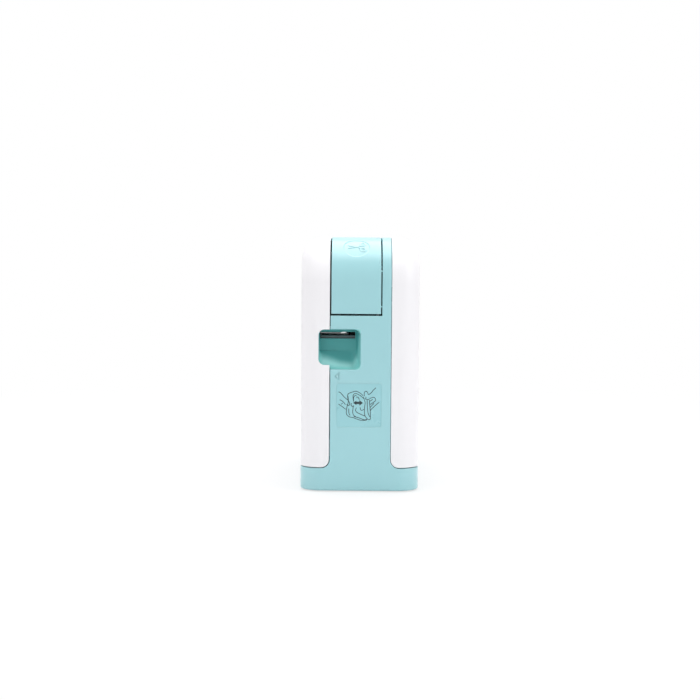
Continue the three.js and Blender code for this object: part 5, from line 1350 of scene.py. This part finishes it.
into(tree, shader, Base_Color=blended(tree, rubbed, marked, (0.62, 0.62, 0.60)),
     Roughness=between(tree, shrink["Patch"], 0.26, 0.32),
     Normal=bumped(tree, shrink["Height"], 0.25, 0.000012))
fitted(sleeve_piece, "cell_sleeves", "cell_wrap", printed_sleeve, *CELLS)

# ---- Tape cassette -------------------------------------------------------------------------
# A smoke grey styrene case and a clearer lid, snapped together, round a roll of white label
# tape, the ink ribbon's supply and take-up rolls, and the rubber roller that draws the tape.


def smoke_styrene(name, colour, through):
    dark, light, wear_and_highlight = [tuple(c * by + more for c in colour)
                         for by, more in ((0.9, 0.0), (1.1, 0.0), (1.0, 0.2))]
    return grained(name, 900.0, 45.0, dark, light, (0.14, 0.24), (0.1, 0.000002), wear_and_highlight,
                   Transmission_Weight=through, IOR=1.5)


smoke_case = smoke_styrene("smoke_case", (0.115, 0.140, 0.150), 0.0)
smoke_lid = smoke_styrene("smoke_lid", (0.52, 0.58, 0.60), 0.75)
refined("cassette_case", "smoke_plastic", smoke_case, 0.0)
refined("cassette_lid", "smoke_plastic", smoke_lid)

# Layers wound on a reel: fine rings round an axis along Y, uneven where the winding slipped.
tree, given, end = shared_group("wound_layers", ("Height", "Slip"), Centre_X=0.0, Centre_Z=0.0,
                                Layers_per_metre=5000.0)
at = wired(tree, "SeparateXYZ", [(0, wired(tree, "TexCoord").outputs["Object"])]).outputs
dx, dz = [sums(tree, "SUBTRACT", at[axis], given[k]) for k, axis in enumerate("XZ")]
radius = sums(tree, "SQRT", sums(tree, "ADD", times(tree, dx, dx), times(tree, dz, dz)))
wave = sums(tree, "SINE", times(tree, times(tree, radius, given[2]), 2 * pi))
slip = noise(tree, 160.0, Detail=2.0)
rings = wired(tree, "TexNoise", Scale=1400.0, Detail=3.0)
rings.noise_dimensions = "1D"
into(tree, rings, W=radius)
into(tree, end, Height=between(tree, wave, 0.5, 1.0),
     Slip=sums(tree, "MULTIPLY_ADD", rings, 0.7, times(tree, slip, 0.3)))
wound_layers = tree


def wound(name, centre, layers, dark, light, rough):
    """A wound strip's material, with its rings centred on the reel."""
    finish, tree, shader = shaded(name)
    turns = placed_group(tree, wound_layers, Centre_X=centre.x * MM, Centre_Z=centre.z * MM,
                         Layers_per_metre=layers)
    into(tree, shader, Base_Color=blended(tree, turns["Slip"], dark, light),
         Roughness=between(tree, turns["Slip"], rough - 0.08, rough + 0.08),
         Normal=bumped(tree, turns["Height"], 0.4, 0.00002))
    return finish


def girth(node):
    """A round piece's middle, its radius, and half its length along Y."""
    low, high = box_mm(node)
    return (low + high) / 2, (high.x - low.x) / 2, (high.y - low.y) / 2


def both_ends(*profile):
    """A turned profile from its lower half, with the upper half as its mirror."""
    return list(profile) + [(-h, r) for h, r in reversed(profile)]


def reel(node, body, slot, bore, wall, dark, light, rough, layers):
    """A wound roll and the moulded core it is wound on."""
    centre, r, half = girth(node)
    core, name = bore + wall, node + "_piece"
    roll = both_ends((-half + 0.2, core), (-half, core + 0.2), (-half, r - 0.12), (-half + 0.12, r))
    strip = wound(name, centre, layers, dark, light, rough)
    rolled = turned(name, [(centre, roll)], "Y", 96, closed=True)
    fitted(smooth(rolled), name, slot, strip, node, body=body)
    tube = both_ends((-half + 0.15, bore), (-half, bore + 0.15), (-half, core - 0.1),
                     (-half + 0.1, core + 0.05))
    tube = turned(name + "_core", [(centre, tube)], "Y", 48, closed=True)
    fitted(smooth(tube), name + "_core", "natural_plastic", acetal, body=body)


acetal = moulded_plastic("acetal", (0.78, 0.765, 0.71), 0.38, pits=1800.0, depth=0.000005,
                         tone=0.02, wear_and_highlight=0.2)
reel("tape_roll", "tape_roll", "label_paper", 4.4, 1.5, (0.60, 0.60, 0.58), (0.86, 0.86, 0.84), 0.6,
     3300.0)
reel("ribbon_supply", "ribbon_supply", "rubber", 3.4, 0.9, (0.010, 0.010, 0.011),
     (0.045, 0.045, 0.05), 0.3, 9000.0)
reel("ribbon_take_up", "take_up", "rubber", 2.5, 0.6, (0.010, 0.010, 0.011), (0.05, 0.05, 0.055),
     0.34, 9000.0)

# The roller that draws the tape: fine flutes along it, and a bore.
FLUTES, FLUTE_DEPTH, BORE = 30, 0.22, 2.5
ridges = [0.0, 0.0, FLUTE_DEPTH, FLUTE_DEPTH] * FLUTES
centre, radius, half = girth("drive_roller")
rings = []
for y, grow in both_ends((-half, -0.2), (-half + 0.2, 0.0)):
    ring = [(radius + grow - sunk, a) for sunk, a in zip(ridges, full_turn(len(ridges)))]
    rings.append([(centre.x + r * cos(a), centre.y + y, centre.z + r * sin(a)) for r, a in ring])
hole = turned("bore", [(centre, both_ends((-half - 1, BORE)))], "Y", 40)
drive_roller = combined(lofted("drive_roller", rings), "DIFFERENCE", hole)
fitted(smooth(drive_roller), "drive_roller_piece", "rubber", moulded_rubber, "drive_roller",
       body="drive")

label_paper = grained("label_paper", 3200.0, 400.0, (0.80, 0.80, 0.77), (0.88, 0.88, 0.86),
                      (0.45, 0.6), (0.3, 0.000008))
refined("label_tape", "label_paper", label_paper, 0.06)
refined("tape_guide", "dark_plastic", dark_abs)

# ---- Print unit ----------------------------------------------------------------------------
# A thermal head on an extruded aluminium sink, and under it the sprung holder whose two rubber
# rollers press the tape and the ribbon up against the head and the drive roller.

ceramic = grained("glazed_ceramic", 1600.0, 120.0, (0.66, 0.64, 0.58), (0.74, 0.72, 0.67),
                  (0.12, 0.2), (0.2, 0.000003))
refined("print_head", "natural_plastic", ceramic, 0.1)
extruded_aluminium = bare_metal("extruded_aluminium", (0.72, 0.73, 0.74), 0.36,
                                (2600.0, 60.0, 2600.0), dark=0.86)
refined("heat_sink", "aluminium", extruded_aluminium, 0.2)
refined("roller_holder", "dark_plastic", dark_abs, body="roller_holder")

SHAFT = 1.1
for node, body in (("platen_roller", "platen"), ("pinch_roller", "pinch")):
    centre, r, half = girth(node)
    tyre = both_ends((-half + 1.8, SHAFT), (-half + 1.8, r - 0.4), (-half + 2.2, r))
    tyre = turned(node, [(centre, tyre)], "Y", 64, closed=True)
    fitted(smooth(tyre), node + "_tyre", "rubber", moulded_rubber, node, body=body)
    shaft = both_ends((-half, SHAFT - 0.25), (-half + 0.25, SHAFT))
    shaft = turned(node + "_shaft", [(centre, shaft)], "Y", 32)
    fitted(smooth(shaft), node + "_shaft", "steel", bright_steel, body=body)

low, high = box_mm("holder_pin")
centre, pin_head, half = girth("holder_pin")
holder_pin = [(low.y, pin_head - 0.3), (low.y + 0.3, pin_head), (low.y + 0.9, pin_head),
              (low.y + 1.0, pin_head - 0.1), (low.y + 1.0, 1.5), (high.y - 0.3, 1.5), (high.y, 1.2)]
holder_pin = turned("holder_pin", [((centre.x, 0.0, centre.z), holder_pin)], "Y", 36)
fitted(smooth(holder_pin), "holder_pin_piece", "steel", bright_steel, "holder_pin")
upright_spring("holder_spring", 0.35, 3.0)

# ---- Gear drive ----------------------------------------------------------------------------
# Acetal gears of module 0.8 behind the mechanism wall, turned by a small motor: pinion, double
# idler, and the drive and take-up gears, each in one piece with the splined spindle that
# reaches into the cassette. A pressed steel plate carries the idler's post.

MODULE = 0.8
GEAR_FACE = 2.8
LAYERS = (1.8, 4.9)  # where the two layers of gears begin, behind the wall
TOOTH = [(-1.2, -0.30), (-0.2, -0.21), (0.65, -0.13), (0.85, -0.09)]  # in modules and in pitches
TOOTH += [(rise, -share) for rise, share in TOOTH[::-1]]
TEETH = {"drive": 24, "take_up": 15, "idler": 15, "idler_big": 30, "pinion": 12}


def joint_place(name):
    """Where a joint's axis is, in x and z."""
    joint = next(j for j in frame["record"]["behaviour"]["joints"] if j["name"] == name + "_turn")
    return joint["pos_m"][0] / MM, joint["pos_m"][2] / MM


def meshed(phase, teeth, next_teeth, a, b):
    """The phase of a gear at b, in mesh with one at a."""
    line = atan2(b[1] - a[1], b[0] - a[0])
    ahead = (line - phase) * teeth / (2 * pi)
    return line + pi + (ahead + 0.5) * 2 * pi / next_teeth


def tooth_ring(centre, teeth, phase, y, inset):
    ring = []
    for tooth in range(teeth):
        for rise, share in TOOTH:
            r = MODULE * teeth / 2 + rise * MODULE - inset * (rise > 0)
            a = phase + (tooth + share) * (2 * pi / teeth)
            ring.append((centre[0] + r * cos(a), y, centre[1] + r * sin(a)))
    return ring


def turned_at(name, centre, profile, sides, closed=False):
    """A turned body on an axis along Y, at an x and a z."""
    return turned(name, [((centre[0], 0.0, centre[1]), profile)], "Y", sides, closed)


def spur_gear(name, centre, teeth, phase, y0, y1, web=None):
    """A spur gear with eased tooth ends; web is the hub's and the rim's radius and the depth of
    the recess between them."""
    levels = [(y0, 0.2), (y0 + 0.2, 0.0), (y1 - 0.2, 0.0), (y1, 0.2)]
    gear = lofted(name, [tooth_ring(centre, teeth, phase, y, inset) for y, inset in levels])
    if web:
        hub, rim, depth = web
        for face, inward in ((y0, 1), (y1, -1)):
            bed = face + inward * depth
            trough = [(face - inward, hub), (face - inward, rim), (bed, rim - 0.3),
                      (bed, hub + 0.3)]
            gear = combined(gear, "DIFFERENCE",
                            turned_at("trough", centre, trough, 48, closed=True))
    return gear


def splined(centre, y0, y1, root=1.4, tip=2.2, half=0.35):
    """The six splines that the cassette's reels slide onto."""
    rings = []
    for y, grow in ((y0, -0.3), (y0 + 0.4, 0.0), (y1, 0.0)):
        ring = []
        for k in range(6):
            for r, side in ((root, -1), (tip + grow, -1), (tip + grow, 1), (root, 1)):
                turn = pi / 3 * k + side * sin(half / r)
                ring.append((centre[0] + r * cos(turn), y, centre[1] + r * sin(turn)))
        rings.append(ring)
    return lofted("splines", rings)


def spindle(name, phase):
    """A gear in one piece with the splined rod that reaches into the cassette."""
    node, centre, teeth = name + "_spindle", joint_place(name), TEETH[name]
    low, high = box_mm(node)
    gear = spur_gear(node, centre, teeth, phase, LAYERS[0], LAYERS[0] + GEAR_FACE,
                     (3.4, MODULE * teeth / 2 - 2.0, 0.7))
    rod = [(-5.1, 2.0), (-4.9, 2.2), (LAYERS[0] + 0.5, 2.2)]
    arbor = [(LAYERS[0] + GEAR_FACE - 0.5, 1.5), (high.y - 0.3, 1.5), (high.y, 1.2)]
    made = combined(gear, "UNION", turned_at("rod", centre, rod, 36),
                    turned_at("arbor", centre, arbor, 36), splined(centre, low.y, -5.0))
    fitted(smooth(made), node + "_piece", "natural_plastic", acetal, node, body=name)


drive_at, take_up_at, idler_at, pinion_at = [
    joint_place(name) for name in ("drive", "take_up", "idler", "pinion")]
idler_phase = meshed(0.0, TEETH["drive"], TEETH["idler"], drive_at, idler_at)
pinion_phase = meshed(idler_phase, TEETH["idler_big"], TEETH["pinion"], idler_at, pinion_at)
spindle("drive", 0.0)
spindle("take_up", meshed(0.0, TEETH["drive"], TEETH["take_up"], drive_at, take_up_at))

idler = spur_gear("idler_gear", idler_at, TEETH["idler"], idler_phase, LAYERS[0], LAYERS[1] + 0.2)
idler = combined(idler, "UNION", spur_gear("idler_big", idler_at, TEETH["idler_big"], idler_phase,
                                           LAYERS[1], LAYERS[1] + GEAR_FACE, (3.2, 10.0, 0.7)))
idler = combined(idler, "DIFFERENCE", turned_at("bore", idler_at, [(0.0, 1.8), (12.0, 1.8)], 36))
fitted(smooth(idler), "idler_gear_piece", "natural_plastic", acetal, "idler_gear", body="idler")

low, high = box_mm("motor_pinion")
pinion = spur_gear("motor_pinion", pinion_at, TEETH["pinion"], pinion_phase, LAYERS[1],
                   LAYERS[1] + GEAR_FACE)
shaft = [(low.y, 0.8), (low.y + 0.2, 1.0), (high.y - 0.2, 1.0), (high.y, 0.8)]
pinion = combined(pinion, "UNION", turned_at("shaft", pinion_at, shaft, 28))
fitted(smooth(pinion), "motor_pinion_piece", "steel", bright_steel, "motor_pinion", body="pinion")

pressed_steel = bare_metal("pressed_steel", (0.60, 0.61, 0.62), 0.30, (120.0, 900.0, 2400.0),
                           dark=0.84)
refined("gear_plate", "steel", pressed_steel)

# ---- Motor ---------------------------------------------------------------------------------
# A small direct-current motor: a drawn steel can with two flats, a bearing boss on each end, a
# dark end cap with its two solder tabs.

MOTOR = {"radius": 10.0, "flat": 7.7, "round": 1.0, "cap": 2.4}
low, high = box_mm("motor")
can_front, can_back = low.y + 1.2, high.y - 0.8


def can_ring(y, inset):
    r, flat = MOTOR["radius"] - inset, MOTOR["flat"] - inset
    return [(pinion_at[0] + max(-flat, min(flat, r * cos(a))), y, pinion_at[1] + r * sin(a))
            for a in full_turn(72)]


def end_plates(name, inner, wider, half, y0, y1):
    """Two small plates, one on each side of the motor's axis."""
    outer = inner * wider
    shape = [(inner, -half), (outer, -half), (outer, half), (inner, half)]
    return [slab_y(name, [(pinion_at[0] + side * u, pinion_at[1] + w) for u, w in shape], y0, y1)
            for side in (-1, 1)]


rings = [can_ring(can_front + depth, inset) for inset, depth in rounding(MOTOR["round"], 5)]
rings += [can_ring(can_back - MOTOR["cap"], 0.0)]
boss = [(low.y, 2.8), (low.y + 0.2, 3.0), (can_front + 1.0, 3.0)]
hole = [(low.y - 1, 1.3), (can_front + 4.5, 1.3)]
can = combined(lofted("motor", rings), "UNION", turned_at("boss", pinion_at, boss, 40))
vents = end_plates("vent", 4.6, 1.22, 2.6, can_front - 1, can_front + 0.6)
can = combined(can, "DIFFERENCE", turned_at("bore", pinion_at, hole, 32), *vents)
fitted(smooth(can), "motor_can", "steel", zinc_steel, "motor")
cap_front = can_back - MOTOR["cap"] + 0.02
cap = lofted("motor_cap", [can_ring(cap_front, 0.25), can_ring(can_back - 0.3, 0.25),
                           can_ring(can_back, 0.55)])
rear_boss = [(can_back - 0.5, 3.6), (high.y - 0.2, 3.6), (high.y, 3.4)]
cap = combined(cap, "UNION", turned_at("rear_boss", pinion_at, rear_boss, 40))
fitted(smooth(cap), "motor_cap", "dark_plastic", dark_abs)
tabs = end_plates("tab", 5.6, 1.06, 1.0, can_back - 0.4, high.y + 0.3)
fitted(smooth(one_mesh("motor_tabs", tabs)), "motor_tabs", "steel", plated_steel)

# ---- Main board ----------------------------------------------------------------------------
# A green glass fibre board held in the wall's rails, with its chips, radio module, wire sockets
# and an upright capacitor soldered to its back. The chips' legs are grown by Geometry Nodes.


def solder_mask(name, u_axis, w_axis, seed):
    """Solder mask over copper, in the board's plane: tracks, filled ground and tinned lands."""
    finish, tree, shader = shaded(name)
    at = wired(tree, "SeparateXYZ", [(0, wired(tree, "TexCoord").outputs["Object"])]).outputs
    plane = wired(tree, "CombineXYZ", [(0, at[u_axis]), (1, at[w_axis])], Z=seed)
    blocks = wired(tree, "TexVoronoi", [("Vector", plane)], Scale=230.0)
    blocks.distance = "CHEBYCHEV"
    stripes, crossing = [wired(tree, "TexWave", [("Vector", plane)], Scale=190.0) for _ in range(2)]
    crossing.bands_direction = "Y"
    parts = wired(tree, "SeparateColor", [(0, blocks.outputs["Color"])]).outputs
    upright = ramped(tree, parts[0], 0.48, 0.52)
    level = sums(tree, "SUBTRACT", 1.0, upright)
    routed = sums(tree, "ADD", times(tree, stripes.outputs["Fac"], upright),
                  times(tree, crossing.outputs["Fac"], level))
    poured = ramped(tree, parts[1], 0.66, 0.68)
    copper = sums(tree, "MAXIMUM", ramped(tree, routed, 0.5, 0.62), poured)
    green = blended(tree, copper, (0.008, 0.052, 0.028), (0.020, 0.125, 0.062))
    lands = ramped(tree, blocks.outputs["Distance"], 0.075, 0.09, 1.0, 0.0)
    tinned = times(tree, lands, sums(tree, "GREATER_THAN", parts[2], 0.45))
    into(tree, shader, Base_Color=blended(tree, tinned, green, (0.66, 0.66, 0.62)), Metallic=tinned,
         Roughness=between(tree, tinned, 0.28, 0.36), Normal=bumped(tree, copper, 0.3, 0.00003))
    return finish


def block(name, low, high, edge):
    """A rectangular block with eased edges."""
    (x0, y0, z0), (x1, y1, z1) = low, high
    points = [(x, y, z) for x in (x0, x1) for y in (y0, y1) for z in (z0, z1)]
    faces = [(0, 1, 3, 2), (4, 6, 7, 5), (0, 4, 5, 1), (2, 3, 7, 6), (0, 2, 6, 4), (1, 5, 7, 3)]
    return broken_edges(turned_out(name, points, faces), edge)


mask_green = solder_mask("solder_mask", "X", "Z", 0.0)
BOARD_LOW, BOARD_HIGH = Vector((-57.0, 13.0, 30.0)), Vector((0.0, 14.6, 112.0))
BEHIND = 14.6  # the board's back face
board = slab_y("board", rounded(BOARD_LOW.x, BOARD_HIGH.x, BOARD_LOW.z, BOARD_HIGH.z, [1.2] * 4, 4),
               BOARD_LOW.y, BOARD_HIGH.y)
holes = [((x, 13.8, z), [(-2.0, 1.3), (2.0, 1.3)]) for x in (-52.0, -5.0) for z in (34.5, 107.5)]
board = combined(board, "DIFFERENCE", turned("holes", holes, "Y", 24))
fitted(smooth(board), "main_board_piece", "circuit_board", mask_green, "main_board")

# Across and up the board as shares, then width, height and thickness.
CHIPS = {"processor": (0.32, 0.32, 12, 12, 1.4), "memory": (0.63, 0.37, 7, 9, 1.2),
         "driver": (0.21, 0.59, 6, 5, 1.2), "regulator": (0.39, 0.12, 5, 4, 1.0),
         "charger": (0.63, 0.15, 4, 5, 1.0)}
RADIO = (0.25, 0.76, 18, 13, 2.5)
SOCKETS = {"head_socket": (0.77, 0.63, 8, 4, 5), "motor_socket": (0.77, 0.22, 8, 4, 5),
           "battery_socket": (0.09, 0.37, 4, 10, 5)}
CAPACITOR = (0.77, 0.83, 4.0, 9.0)


def on_board(across, up):
    size = BOARD_HIGH - BOARD_LOW
    return BOARD_LOW.x + across * size.x, BOARD_LOW.z + up * size.z


def mounted(name, x, z, wide, tall, start, end, edge):
    """A block behind the board, round x and z."""
    return block(name, (x - wide / 2, start, z - tall / 2), (x + wide / 2, end, z + tall / 2), edge)


chip_resin = moulded_plastic("chip_resin", (0.022, 0.022, 0.024), 0.55, depth=0.00001, tone=0.004,
                             wear_and_highlight=0.04)
leg_points = []
bodies, marks = [], []
for across, up, wide, tall, thick in CHIPS.values():
    x, z = on_board(across, up)
    marks.append(((x - wide / 2 + 2.2, BEHIND + thick, z + tall / 2 - 1.5),
                  [(-0.12, 0.5), (1.0, 0.5)]))
    wide, tall = wide - 1.8, tall - 0.6
    bodies.append(mounted("chip", x, z, wide, tall, 14.75, BEHIND + thick, 0.18))
    count = max(3, int(tall / 0.95))
    for side in (-1, 1):
        for k in range(count):
            at = z - tall / 2 + tall * (k + 0.5) / count
            leg_points.append((x + side * wide / 2, BEHIND + thick * 0.55, at, side, thick * 0.55))
bodies = combined(one_mesh("chips", bodies), "DIFFERENCE", turned("marks", marks, "Y", 20))
fitted(smooth(bodies), "chips", "dark_plastic", chip_resin)

# A gull wing leg: out of the body, down, and out again along the board.
tree, sizes = geometry_tree("gull_legs", Reach=0.0009, Drop=0.0007, Wide=0.0004, Thick=0.00015,
                            Turn=(0.0, 0.0, 0.0))
shares = [(-0.2, 0.0), (0.32, 0.0), (0.5, -0.25), (0.62, -0.9), (0.74, -1.0), (1.0, -1.0)]
bend = [wired(tree, "CombineXYZ", [("X", times(tree, sizes["Reach"], x)),
                                   ("Y", times(tree, sizes["Drop"], y))]) for x, y in shares]
runs = [wired(tree, "CurvePrimitiveLine", [("Start", a), ("End", b)])
        for a, b in zip(bend, bend[1:])]
section = wired(tree, "CurvePrimitiveQuadrilateral",
                [("Width", sizes["Wide"]), ("Height", sizes["Thick"])])
path = wired(tree, "JoinGeometry", [(0, run) for run in reversed(runs)])
gull_legs = on_points(tree, sizes, swept(tree, path, section))
for side, hand, turn in ((1, "right", (0.0, 0.0, 0.0)), (-1, "left", (0.0, pi, 0.0))):
    for drop in sorted({round(p[4], 3) for p in leg_points}):
        roots = [p[:3] for p in leg_points if p[3] == side and round(p[4], 3) == drop]
        legs = grown("chip_legs", roots, gull_legs, plated_steel, Drop=(drop - 0.08) * MM,
                     Turn=turn)
        fitted(smooth(legs), f"chip_legs_{hand}_{int(drop * 100)}", "steel", plated_steel)

# The radio module: a small board with a pressed shielding can over most of it.
x, z = on_board(*RADIO[:2])
half_w, half_h, back = RADIO[2] / 2, RADIO[3] / 2, BEHIND + RADIO[4]
module = mounted("radio_board", x, z, *RADIO[2:4], BEHIND, 15.4, 0.08)
fitted(smooth(module), "radio_board", "circuit_board", mask_green)
can = block("radio_can", (x - half_w + 5.0, 15.35, z - half_h + 0.6),
            (x + half_w - 0.6, back, z + half_h - 0.6), 0.3)
dents = [((x + 2.2 + u, back + 0.5, z + w), [(-0.8, 0.6), (1.0, 0.6)])
         for u in (-5.0, 5.0) for w in (-4.6, 4.6)]
can = combined(can, "DIFFERENCE", turned("dents", dents, "Y", 20))
fitted(smooth(can), "radio_can", "steel", zinc_steel)
zigzag = [(x - half_w + 1.0 + (k % 4 in (1, 2)) * 2.6, z - half_h + 1.2 + (k // 2) * 1.5)
          for k in range(15)]
trace = stroked("antenna", zigzag, 0.4, across_y, 15.38, 15.46)
tinned_copper = bare_metal("tinned_copper", (0.72, 0.60, 0.38), 0.3)
fitted(smooth(trace), "radio_antenna", "steel", tinned_copper)

# Wire sockets with their pins, and the capacitor in its crimped sleeve.
PINS = 4
housings, pins = [], []
nylon = moulded_plastic("white_nylon", (0.74, 0.735, 0.70), 0.45, pits=1800.0, depth=0.00001,
                        tone=0.02, wear_and_highlight=0.2)
for across, up, wide, tall, thick in SOCKETS.values():
    x, z = on_board(across, up)
    housing = mounted("housing", x, z, wide, tall, BEHIND, BEHIND + thick, 0.2)
    room = mounted("room", x, z, wide - 1.4, tall - 1.4, 15.8, 22.0, 0.05)
    housings.append(combined(housing, "DIFFERENCE", room))
    for k in range(PINS):
        shift = ((k + 0.5) / PINS - 0.5) * (max(wide, tall) - 1.6)
        pin_x, pin_z = (x + shift, z) if wide > tall else (x, z + shift)
        pins.append(mounted("pin", pin_x, pin_z, 0.6, 0.6, 15.0, BEHIND + thick - 0.8, 0.08))
fitted(smooth(one_mesh("sockets", housings)), "wire_sockets", "natural_plastic", nylon)
fitted(smooth(one_mesh("pins", pins)), "socket_pins", "steel", plated_steel)
x, z = on_board(*CAPACITOR[:2])
r, long = CAPACITOR[2:]
sleeve = [(0.3, 3.2), (0.1, r - 0.4), (0.5, r), (1.2, r), (1.6, r - 0.35), (2.0, r),
          (long - 0.5, r), (long - 0.1, r - 0.5), (long - 0.1, r - 0.8)]
sleeve = turned("capacitor", [((x, BEHIND, z), sleeve)], "Y", 40)
fitted(smooth(sleeve), "capacitor", "dark_plastic", chip_resin)
top = [(long - 0.6, r - 0.5), (long - 0.05, r - 0.78), (long - 0.05, 0.3)]
top = turned("capacitor_top", [((x, BEHIND, z), top)], "Y", 40)
score = [mounted("score", x, z, wide, tall, BEHIND + long - 0.15, BEHIND + long + 1, 0.03)
         for wide, tall in ((4.4, 0.24), (0.24, 4.4))]
top = combined(top, "DIFFERENCE", combined(score[0], "UNION", score[1]))
fitted(smooth(top), "capacitor_top", "steel", extruded_aluminium)

# ---- Switch board, power button and light --------------------------------------------------
# A small board under the top carries the tact switch and the indicator's light emitting diode.
# The white button has the usual power mark moulded into it; the light is a clear pipe.

low, high = box_mm("switch_board")
base = low.z + 1.2  # the board's upper face
board = slab("switch_board", rounded(low.y, high.y, low.z, base, [0.05] * 4, 2), low.x, high.x)
switch_mask = solder_mask("switch_mask", "X", "Y", 0.3)
fitted(smooth(board), "switch_board_piece", "circuit_board", switch_mask, "switch_board")
(button_low, button_high), (light_low, light_high) = box_mm("power_button"), box_mm("light_window")
button_at, light_at = (button_low + button_high) / 2, (light_low + light_high) / 2


def standing(name, at, wide, deep, start, end, edge):
    """A block on the switch board, round a point's x and y."""
    return block(name, (at.x - wide / 2, at.y - deep / 2, start),
                 (at.x + wide / 2, at.y + deep / 2, end), edge)


def upright(name, at, profile, sides):
    """A turned body on an upright axis through a point."""
    return turned(name, [((at.x, at.y, 0.0), profile)], "Z", sides)


shell = standing("switch", button_at, 6, 6, base, base + 3.0, 0.15)
fitted(smooth(shell), "switch_body", "dark_plastic", chip_resin)
cover = standing("switch_plate", button_at, 6.1, 6.1, base + 2.9, base + 3.3, 0.08)
hole = upright("hole", button_at, [(base + 2.0, 1.9), (base + 5.0, 1.9)], 36)
fitted(smooth(combined(cover, "DIFFERENCE", hole)), "switch_plate", "steel", plated_steel)
knob = [(base + 2.8, 1.6), (high.z - 0.15, 1.6), (high.z, 1.45)]
knob = upright("switch_knob", button_at, knob, 36)
fitted(smooth(knob), "switch_knob", "dark_plastic", dark_abs)
diode = standing("diode", light_at, 2.0, 1.4, base, base + 0.7, 0.12)
fitted(smooth(diode), "diode", "natural_plastic", nylon)

r, flange, foot = 4.5, 5.6, button_low.z
button = [(foot, 1.3), (foot + 0.2, 1.5), (foot + 3.3, 1.5), (foot + 3.3, flange - 0.1),
          (foot + 3.4, flange), (foot + 4.4, flange), (foot + 4.5, flange - 0.1), (foot + 4.5, r)]
button += [(button_high.z - down, r - inward) for down, inward in rounding(0.6, 5)]
button = upright("power_button", button_at, button + [(button_high.z - 0.15, 2.0)], 72)


def power_mark(width, start, end):
    """The mark's ring and bar on the button's face, as two bodies."""
    ring = [(1.7 * sin(a), 1.7 * cos(a)) for a in even(radians(38), radians(322), 40)]

    def on_button(u, w, out):
        return button_at.x + u, button_at.y + w, button_high.z + out

    return [stroked("mark", line, width, on_button, start, end)
            for line in (ring, [(0.0, 0.7), (0.0, 2.1)])]


button = combined(button, "DIFFERENCE", *power_mark(0.42, -0.35, 1.0))
fitted(smooth(button), "power_button_piece", "white", white_abs, "power_button",
       body="power_button")
printed_mark = moulded_plastic("mark_ink", (0.10, 0.12, 0.13), 0.5, pits=2200.0, depth=0.000004,
                               tone=0.01, wear_and_highlight=0.04)
mark = one_mesh("power_mark", power_mark(0.38, -0.32, -0.22))
fitted(smooth(mark), "power_mark", "dark_plastic", printed_mark, body="power_button")

clear_pipe = grained("clear_pipe", 1400.0, 240.0, (0.62, 0.74, 0.66), (0.76, 0.86, 0.79),
                     (0.16, 0.28), (0.2, 0.000004), Transmission_Weight=0.8)
r = (light_high.x - light_low.x) / 2
pipe = [(light_low.z, r - 0.2), (light_low.z + 0.2, r), (light_high.z - 0.4, r)]
pipe += [(light_high.z - 0.4 * (1 - sin(a)), r - 0.5 * (1 - cos(a))) for a in even(0, pi / 2, 4)]
pipe = upright("light_pipe", light_at, pipe, 36)
fitted(smooth(pipe), "light_window_piece", "lamp", clear_pipe, "light_window")

# ---- Supply socket -------------------------------------------------------------------------
# The barrel socket low on the left side: a black moulded block, a plated sleeve in its bore and
# the round centre pin.

refined("supply_socket", "dark_plastic", dark_abs, 0.25)
low, high = box_mm("supply_socket")
in_bore = (0.0, JACK["y"], JACK["z"])
sleeve = [(low.x + 0.5, 3.2), (low.x + 0.5, 2.95), (high.x - 3.0, 2.95), (high.x - 3.0, 3.2)]
sleeve = turned("socket_sleeve", [(in_bore, sleeve)], "X", 48, closed=True)
fitted(smooth(sleeve), "socket_sleeve", "steel", plated_steel)
pin = [(low.x + 2.0, 0.35), (low.x + 2.15, 0.7), (low.x + 2.6, 0.98), (high.x - 3.0, 0.98)]
fitted(smooth(turned("socket_pin", [(in_bore, pin)], "X", 32)), "socket_pin", "steel", bright_steel)
